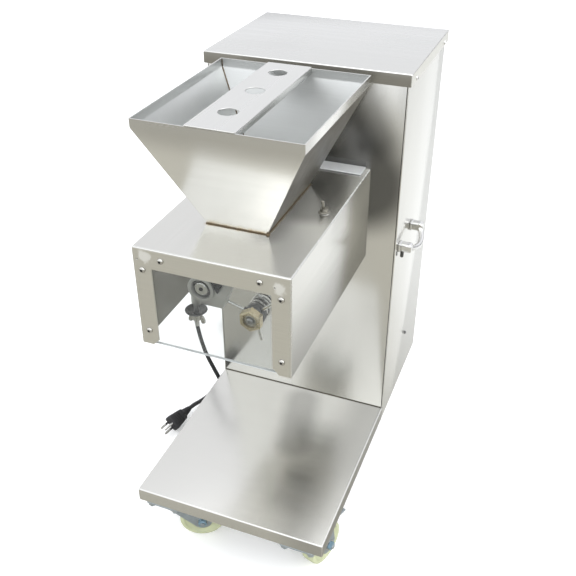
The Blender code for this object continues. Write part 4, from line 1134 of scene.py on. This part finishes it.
def bead(name, start, end, radius, seed, pitch=0.0032):
    """A weld bead: a low run of overlapping ripples between two points."""
    start, end = Vector(start), Vector(end)
    along = (end - start).normalized()
    count = max(3, round((end - start).length / pitch * 3))
    side = along.orthogonal().normalized()
    other = along.cross(side)
    shape = bmesh.new()
    rings = []
    for step in range(count + 1):
        share = step / count
        centre = start.lerp(end, share)
        wander = 0.12 * radius * math.sin(seed + step * 1.7)
        ripple = 0.14 * math.sin(2 * math.pi * step / 3)
        size = radius * (0.86 + ripple + 0.06 * math.sin(seed * 3 + step * 0.83))
        if step in (0, count):
            size *= 0.35
        rings.append([
            shape.verts.new(
                centre + side * (wander + size * math.cos(angle)) + other * size * math.sin(angle)
            )
            for angle in (2 * math.pi * corner / 8 for corner in range(8))
        ])
    capped(shape, rings)
    return publish(name, shape, WELD, 80.0)


def make_hopper_welds():
    """Beads up the funnel's inner corners and round its foot, with a knot where the foot's bead ends."""
    inner = RIM_WALL + 0.0002
    lip = RIM_TOP - RIM_LIP
    pieces = []
    for number, (inward, mouth, rim, side) in enumerate((
        (1, MOUTH_FRONT, RIM_FRONT, -1), (1, MOUTH_FRONT, RIM_FRONT, 1),
        (-1, MOUTH_BACK, RIM_BACK, -1), (-1, MOUTH_BACK, RIM_BACK, 1),
    )):
        low = (HOPPER_X + side * (MOUTH_HALF - inner), mouth + inward * inner, BOX_TOP + 0.002)
        high = (HOPPER_X + side * (RIM_HALF - inner - 0.0004), rim + inward * (inner + 0.0004), lip)
        pieces.append(bead("run", low, high, 0.0011, number))
        pieces.append(bead("run", high, (*high[:2], RIM_TOP - 0.0012), 0.0008, number + 4))
    placed(merged("hopper_corner_welds", pieces), "root", slot="stainless_sheet")
    foot = BOX_TOP + 0.0006
    left, right = HOPPER_X - MOUTH_HALF - 0.0004, HOPPER_X + MOUTH_HALF + 0.0004
    front, back = MOUTH_FRONT - 0.0004, MOUTH_BACK + 0.0004
    corners = ((left, front, foot), (right, front, foot), (right, back, foot), (left, back, foot))
    pieces = [
        bead("run", first, second, 0.0008, number)
        for number, (first, second) in enumerate(zip(corners, corners[1:] + corners[:1]), 9)
    ]
    knot = [(0.0, -0.0004), (0.0026, -0.0004), (0.0024, 0.001), (0.0013, 0.0018), (0.0, 0.002)]
    pieces.append(lathe("knot", knot, WELD, (right + 0.0004, front - 0.0002, foot), steps=16))
    placed(merged("hopper_mouth_weld", pieces), "root", slot="stainless_sheet")


def make_guard_strip():
    """A folded strip across the mouth, with three finger holes, laid over the front and rear rims."""
    top = RIM_TOP + GAP + STRIP_THICK
    left, right = STRIP_LEFT + 0.0006, STRIP_RIGHT - 0.0006
    outline = [(left, RIM_FRONT), (right, RIM_FRONT), (right, RIM_BACK), (left, RIM_BACK)]
    holes = [ring_points(place, 0.013, 40) for place in STRIP_HOLES]
    level = Matrix.Translation((0, 0, top - STRIP_THICK / 2))
    pieces = [plate("face", outline, STRIP_THICK, STEEL_STRIP, holes, 0.0004, level)]
    for x in (STRIP_LEFT, STRIP_RIGHT - STRIP_THICK):
        low = (x, RIM_FRONT + RIM_WALL + GAP, RIM_TOP - 0.0078)
        high = (x + STRIP_THICK, RIM_BACK - RIM_WALL - GAP, top - 0.0002)
        pieces.append(block("lip", low, high, STEEL_STRIP))
    placed(merged("guard_strip_sheet", pieces), "root", "hopper_guard_strip", slot="stainless_sheet")


def make_switch():
    """A threaded bushing with its nut and washer over a case under the sheet, and a toggle that leans."""
    bushing = [(0.0, -0.006), (0.0058, -0.006), (0.0058, 0.006), (0.0052, 0.0068), (0.0046, 0.0068),
               (0.0036, 0.0012), (0.0, 0.0012)]
    body = [
        lathe("bushing", bushing, SWITCH_STEEL, SWITCH, steps=32),
        hexagon("nut", 0.014, GAP, 0.0027, SWITCH_STEEL, SWITCH, turn=12),
        lathe("washer", drum(0.0079, 0.0001, 0.0006), POLISHED, SWITCH, steps=32),
        block("case",
              SWITCH - Vector((0.0065, 0.0135, 0.026)), SWITCH + Vector((0.0065, 0.0135, -SHEET - GAP)),
              RUBBER, 0.0008),
    ]
    for height in (0.0032 + 0.0009 * turn for turn in range(4)):
        thread = [(0.0, height), (0.0059, height), (0.00595, height + 0.0003), (0.0059, height + 0.0006),
                  (0.0, height + 0.0006)]
        body.append(lathe("thread", thread, SWITCH_STEEL, SWITCH, steps=32))
    placed(merged("switch_bushing", body), "root", "switch_body", slot="bright_steel")
    toggle = [
        (0.0, 0.0), (0.0014, 0.0), (0.0016, 0.004), (0.002, 0.01), (0.0023, 0.0135), (0.0025, 0.0152),
        (0.0021, 0.0166), (0.0011, 0.0172), (0.0, 0.0172),
    ]
    lean = Matrix.Translation(SWITCH + Vector((0, 0, 0.0004))) @ Matrix.Rotation(math.radians(-10), 4, "Y")
    lever = lathe("switch_toggle", toggle, SWITCH_STEEL, steps=24, matrix=lean)
    placed(lever, "switch", "switch_lever", slot="bright_steel")


# Cutter set

def make_front_bracket():
    formed("front_bearing_bracket", CASTING, 0.0009)
    place = (LOWER_AXIS[0], 0.0, LOWER_AXIS[1])
    dark_band = lathe("bearing_seal", [
        (0.0096, -0.2528), (0.0137, -0.2528), (0.0137, -0.2538), (0.0128, -0.2544), (0.0106, -0.2544),
        (0.0096, -0.2538),
    ], DARK_METAL, place, "Y", 36)
    placed(dark_band, "root", slot="dark_steel")
    # A near-black web behind the bracket's window: painted shadow
    behind = Matrix.Translation((0, BRACKET_FRONT + 0.003, 0)) @ UPRIGHT
    web = plate("bracket_window", BRACKET_WINDOW, 0.001, RECESS_SHADE, (), 0.0002, behind)
    placed(web, "root", slot="cast_aluminium")


def make_shaft_end():
    """The lower shaft's front end: a chamfered face with a centre hole."""
    place = (LOWER_AXIS[0], 0.0, LOWER_AXIS[1])
    cap = lathe("shaft_end_face", [
        (0.003, -0.2596), (0.0078, -0.2596), (0.009, -0.2588), (0.009, -0.2572), (0.003, -0.2572),
    ], POLISHED, place, "Y", 36)
    # The centre hole's floor in near black: painted shade
    centre = lathe("centre_hole", drum(0.0031, -0.2592, -0.258), RECESS_SHADE, place, "Y", 24)
    placed(merged("shaft_end_face", [cap, centre]), "lower_line", slot="bright_steel")


def make_clamp():
    """A dished washer under the bracket's foot, and the wing nut that draws it up."""
    x, y = CLAMP
    cup = [
        (0.0034, 0.4846), (0.0034, 0.4856), (0.007, 0.486), (0.011, 0.4876), (0.0138, 0.49), (0.0145, 0.4905),
        (0.015, 0.49), (0.0148, 0.4892), (0.0118, 0.4866), (0.0076, 0.4849),
    ]
    placed(lathe("clamp_cup", cup, DARK_METAL, (x, y, 0.0)), "root", "cup_washer", slot="dark_steel")
    barrel = [
        (0.0034, 0.4742), (0.0034, 0.4843), (0.0066, 0.4844), (0.0072, 0.4838), (0.0068, 0.479),
        (0.0056, 0.4748), (0.0048, 0.4741),
    ]
    wing = [
        (0.004, 0.48), (0.0058, 0.475), (0.0066, 0.4712), (0.0082, 0.47), (0.0108, 0.4702), (0.0122, 0.4716),
        (0.012, 0.475), (0.01, 0.48), (0.0052, 0.4838),
    ]
    nut = [lathe("barrel", barrel, SCREW_STEEL, (x, y, 0.0), steps=32)]
    upright = Matrix.Translation((0, y, 0)) @ UPRIGHT
    for side in (-1, 1):
        points = [(x + side * across, height) for across, height in wing]
        nut.append(plate("wing", points, 0.0042, SCREW_STEEL, (), 0.0013, upright))
    placed(merged("clamp_wing_nut", nut), "clamp_nut", "wing_nut", slot="bright_steel")


def make_tension_rod():
    """A threaded rod with a dimpled end and a collar behind the spring."""
    rod = [(0.0, -0.2655), (0.0014, -0.2655), (0.0018, -0.2668), (0.0034, -0.2672), (0.0046, -0.2664)]
    for start in (-0.266 + 0.003 * turn for turn in range(9)):
        rod += [(0.005, start), (0.0045, start + 0.0015)]
    rod += [
        (0.005, -0.24), (0.005, -0.1892), (0.0142, -0.1892), (0.015, -0.1884), (0.015, -0.1858),
        (0.0142, -0.185), (0.005, -0.185), (0.005, -0.0205), (0.0, -0.0205),
    ]
    rod = lathe("tension_rod_threaded", rod, SPRING_STEEL, ROD_PLACE, "Y", 32)
    placed(rod, "root", "tension_rod", slot="bright_steel")


def make_spoke_nut():
    """A brass hexagon locked on a turned hub with three spokes."""
    web = [(0.0053, -0.2634), (0.0072, -0.264), (0.0098, -0.263), (0.0098, -0.2541), (0.0053, -0.2541)]
    nut = [
        hexagon("hex", 0.0277, -0.266, -0.254, BRASS, ROD_PLACE, "Y", 30.0, 0.0096),
        lathe("web", web, NUT_FACE, ROD_PLACE, "Y", 32),
    ]
    placed(merged("hex_lock_nut", nut), "spoke_nut", "brass_nut", slot="brass")
    front = HUB_FRONT
    boss = [
        (0.0053, front), (0.0128, front), (0.0145, front + 0.0016), (0.0145, front + 0.0099),
        (0.0133, front + 0.0115), (0.0053, front + 0.0115),
    ]
    spoke = [(0.0, 0.01), (0.0025, 0.01), (0.0025, 0.0385), (0.0018, 0.0396), (0.0, 0.04)]
    socket = [(0.0, 0.012), (0.004, 0.012), (0.0038, 0.0158), (0.0, 0.016)]
    hub = [lathe("boss", boss, DARK_METAL, ROD_PLACE, "Y")]
    centre = Matrix.Translation((ROD_AXIS[0], front + 0.0057, ROD_AXIS[1]))
    for angle in map(math.radians, SPOKE_ANGLES):
        outward = Vector((math.cos(angle), 0, math.sin(angle))).to_track_quat("Z", "Y")
        pose = centre @ outward.to_matrix().to_4x4()
        hub.append(lathe("spoke", spoke, POLISHED, steps=20, matrix=pose))
        hub.append(lathe("socket", socket, DARK_METAL, steps=20, matrix=pose))
    placed(merged("spoke_hub_turned", hub), "spoke_nut", "spoke_hub", slot="dark_steel")


def make_tension_spring():
    """A coil spring whose end turns close up."""
    steps = SPRING_TURNS * 14
    points = []
    for share in (step / steps for step in range(steps + 1)):
        closing = smoothstep(share, 0.0, 0.1) * 0.06 + smoothstep(share, 0.9, 1.0) * 0.06 + share * 0.88
        angle = 2 * math.pi * SPRING_TURNS * share
        points.append((
            ROD_AXIS[0] + SPRING_RADIUS * math.cos(angle),
            SPRING_FRONT + (SPRING_BACK - SPRING_FRONT) * closing,
            ROD_AXIS[1] + SPRING_RADIUS * math.sin(angle),
        ))
    placed(tube("coil_spring", points, 0.002, COIL_STEEL), "root", "tension_spring", slot="dark_steel")


def finish_inner():
    """The pieces inside that keep the frame's own shape, and the two that only gain eased edges."""
    for finish, nodes in (
        (ACRYLIC, ("front_guard",)),
        (CUTTER_STEEL, ("cutter_shaft_lower", "cutter_shaft_upper", "comb_lower", "comb_upper")),
        (POLISHED, ("drive_spindle",)),
        (IRON, ("gear_lower", "gear_upper", "spindle_bearing_housing", "driven_pulley", "motor_pulley")),
        (RUBBER, ("drive_belt",)),
        (PAINT, ("motor",)),
    ):
        for node in nodes:
            repaint(node, finish)
    formed("rear_strip", REAR_STEEL, 0.0005)
    formed("rear_bearing_bracket", CASTING, 0.0008)


# Castors

def make_fork(word, turn):
    """Two broad cheeks under a round crown, with the wheel's bolt and nut through them."""
    top = PAN_BOTTOM - GAP - 0.01
    crown = [
        (0.0, top - 0.0022), (0.0232, top - 0.0022), (0.0243, top - 0.0012), (0.0243, top + 0.0004),
        (0.0228, top + 0.0014), (0.0, top + 0.0014),
    ]
    bridge = block("bridge", (-0.015, -0.016, top - 0.0034), (0.026, 0.016, top - 0.0004), ZINC)
    bridge.data.transform(turn)
    pieces = [lathe("crown", crown, ZINC, matrix=turn), bridge]
    lobe = [
        (CASTER_TRAIL + 0.0165 * math.cos(angle), WHEEL_RADIUS + 0.0165 * math.sin(angle))
        for angle in map(math.radians, range(212, 391, 15))
    ]
    cheek = [
        (-0.0218, top), (-0.0212, top - 0.01), (-0.015, top - 0.022), *lobe, (0.052, 0.07), (0.042, 0.086),
        (0.034, top),
    ]
    for side in (-1, 1):
        place = turn @ Matrix.Translation((0, side * 0.0152, 0)) @ UPRIGHT
        pieces.append(plate("cheek", cheek, 0.0025, ZINC, (), 0.0007, place))
    across = turn @ Matrix.Translation((CASTER_TRAIL, 0, WHEEL_RADIUS)) @ AXES["Y"]
    axle = [(0.0, -0.025), (0.0034, -0.025), (0.004, -0.024), (0.004, 0.024), (0.0034, 0.025), (0.0, 0.025)]
    pieces += [
        lathe("axle", axle, ZINC, matrix=across, steps=20),
        hexagon("bolt_head", 0.0128, -0.0232, -0.0178, BLUE_ZINC, matrix=across, turn=14.0),
        hexagon("bolt_nut", 0.0128, 0.0178, 0.0232, BLUE_ZINC, matrix=across, turn=-9.0),
        lathe("washer", drum(0.0086, -0.0178, -0.0166), POLISHED, matrix=across, steps=28),
        lathe("washer", drum(0.0086, 0.0166, 0.0178), POLISHED, matrix=across, steps=28),
    ]
    placed(merged(f"caster_yoke_{word}", pieces), f"fork_{word}", f"caster_fork_{word}", slot="zinc_plate")


def make_mount(word, still):
    """A castor's fixed plate with clipped corners, its race, and four bolts through it."""
    top = PAN_BOTTOM - GAP
    corners = (
        (-0.026, -0.044), (0.026, -0.044), (0.03, -0.04), (0.03, 0.04), (0.026, 0.044), (-0.026, 0.044),
        (-0.03, 0.04), (-0.03, -0.04),
    )
    race = [
        (0.0, top - 0.0093), (0.0205, top - 0.0093), (0.022, top - 0.0078), (0.022, top - 0.005),
        (0.018, top - 0.0029), (0.0, top - 0.0029),
    ]
    shank = [(0.0, top - 0.0115), (0.0028, top - 0.0115), (0.0032, top - 0.01), (0.0, top - 0.01)]
    pieces = [
        plate("mount", corners, 0.003, ZINC, (), 0.0005, still @ Matrix.Translation((0, 0, top - 0.0015))),
        lathe("race", race, ZINC, matrix=still),
    ]
    for across, turn in ((-0.021, -17), (0.021, 17)):
        for along in (-0.0365, 0.0365):
            spot = still @ Matrix.Translation((across, along, 0))
            pieces += [
                hexagon("bolt_head", 0.0118, top - 0.01, top - 0.0042, ZINC, matrix=spot, turn=turn),
                lathe("washer", drum(0.007, top - 0.0042, top - 0.003), POLISHED, matrix=spot, steps=24),
                lathe("shank", shank, ZINC, matrix=spot, steps=16),
            ]
    placed(merged(f"caster_mount_{word}", pieces), "root", f"caster_plate_{word}", slot="zinc_plate")


def make_wheel(word, turn):
    """A wheel turned in one piece: bore, hub, dished web, rim and a rounded tread."""
    half = [
        (0.0043, 0.0129), (0.01, 0.0129), (0.011, 0.0122), (0.0122, 0.0092), (0.015, 0.0082),
        (0.0265, 0.0082),
        (0.0292, 0.0096), (0.0305, 0.011), (0.0315, 0.0118), (0.0345, WHEEL_HALF), (0.0362, 0.0112),
        (0.0372, 0.0088), (WHEEL_RADIUS, 0.006),
    ]
    profile = [(radius, -across) for radius, across in half] + half[::-1]
    hub = turn @ Matrix.Translation((CASTER_TRAIL, 0, WHEEL_RADIUS)) @ AXES["Y"]
    wheel = lathe(f"wheel_{word}", profile, NYLON, matrix=hub, steps=56)
    placed(wheel, f"wheel_{word}", f"caster_wheel_{word}", slot="cream_nylon")


def make_caster(word):
    x, y, degrees = CASTERS[word]
    still = Matrix.Translation((x, y, 0))
    turn = still @ Matrix.Rotation(math.radians(degrees), 4, "Z")
    make_mount(word, still)
    make_fork(word, turn)
    make_wheel(word, turn)
    if word.startswith("front"):
        formed(f"brake_pedal_{word}", ZINC, 0.0005, body=f"pedal_{word}")


make_base_tray()
make_cabinet()
make_lid()
make_cabinet_screws()
make_louvres()
make_handles()
make_blade_box()
make_guard_screws()
make_guard_edge()
make_hopper()
make_hopper_welds()
make_guard_strip()
make_switch()
make_front_bracket()
make_shaft_end()
make_clamp()
make_tension_rod()
make_spoke_nut()
make_tension_spring()
finish_inner()
for position in CASTERS:
    make_caster(position)


# Floor and light

def make_floor():
    """A pale floor: lifted a little to the eye, warmer and darker in metal, most of all in front."""
    made = Finish("pale_floor", 0.75)
    made.shader.inputs["Specular IOR Level"].default_value = 0.1
    ahead = made.spread(made.axes(made.place)["Y"], -0.45, 0.9)
    seen_in_metal = made.mix(ahead, (0.4, 0.385, 0.335), (0.74, 0.74, 0.72))
    made.colour(made.mix(made.ray("Glossy"), (0.92, 0.92, 0.915), seen_in_metal))
    made.shader.inputs["Emission Color"].default_value = (1.0, 1.0, 1.0, 1.0)
    made.feed(made.shader.inputs["Emission Strength"], made.math("MULTIPLY", made.ray("Camera"), 0.2))
    shape = bmesh.new()
    bmesh.ops.create_grid(shape, x_segments=1, y_segments=1, size=14.0)
    publish("floor", shape, made.material)


def make_light(name, place, target, size, power, colour):
    data = bpy.data.lights.new(name, "AREA")
    data.shape = "RECTANGLE"
    data.size, data.size_y = size
    data.energy = power
    data.color = colour
    lamp = bpy.data.objects.new(name, data)
    bpy.context.scene.collection.objects.link(lamp)
    lamp.location = place
    lamp.rotation_mode = "QUATERNION"
    lamp.rotation_quaternion = (Vector(target) - Vector(place)).to_track_quat("-Z", "Y")


def make_world():
    """A bright studio, brighter in front and on the right; only metal sees a dark low band on the right."""
    world = bpy.data.worlds.new("studio")
    bpy.context.scene.world = world
    world.use_nodes = True
    sky = Tree(world.node_tree)
    direction = sky.axes(sky.add("ShaderNodeTexCoord").outputs["Generated"])
    behind = sky.spread(direction["Y"], -0.45, 0.55)
    beside = sky.spread(direction["X"], 0.15, 0.65, 1.0, 1.45)
    low = sky.spread(direction["Z"], 0.05, 0.3, 0.22, 1.0)
    high = sky.spread(direction["Z"], 0.7, 0.95, 1.0, 1.25)
    dimmed = sky.share(sky.spread(direction["X"], 0.0, 0.35), 1.0, low)
    in_metal = sky.share(sky.ray("Glossy"), 1.0, sky.math("MULTIPLY", dimmed, high))
    backdrop = sky.tree.nodes["Background"]
    sky.feed(backdrop.inputs["Strength"], sky.math("MULTIPLY", beside, in_metal))
    sky.feed(backdrop.inputs["Color"], sky.mix(behind, (1.62, 1.65, 1.7), (1.09, 1.1, 1.14)))


make_floor()
make_world()
make_light("overhead", (0.2, 0.1, 2.6), (0, 0, 0.3), (2.2, 2.2), 14.0, (1.0, 0.995, 0.98))
make_light("side", (2.4, -0.3, 1.3), (0, 0, 0.4), (1.6, 1.6), 10.0, (1.0, 1.0, 1.0))
bpy.context.scene.view_settings.view_transform = "Standard"
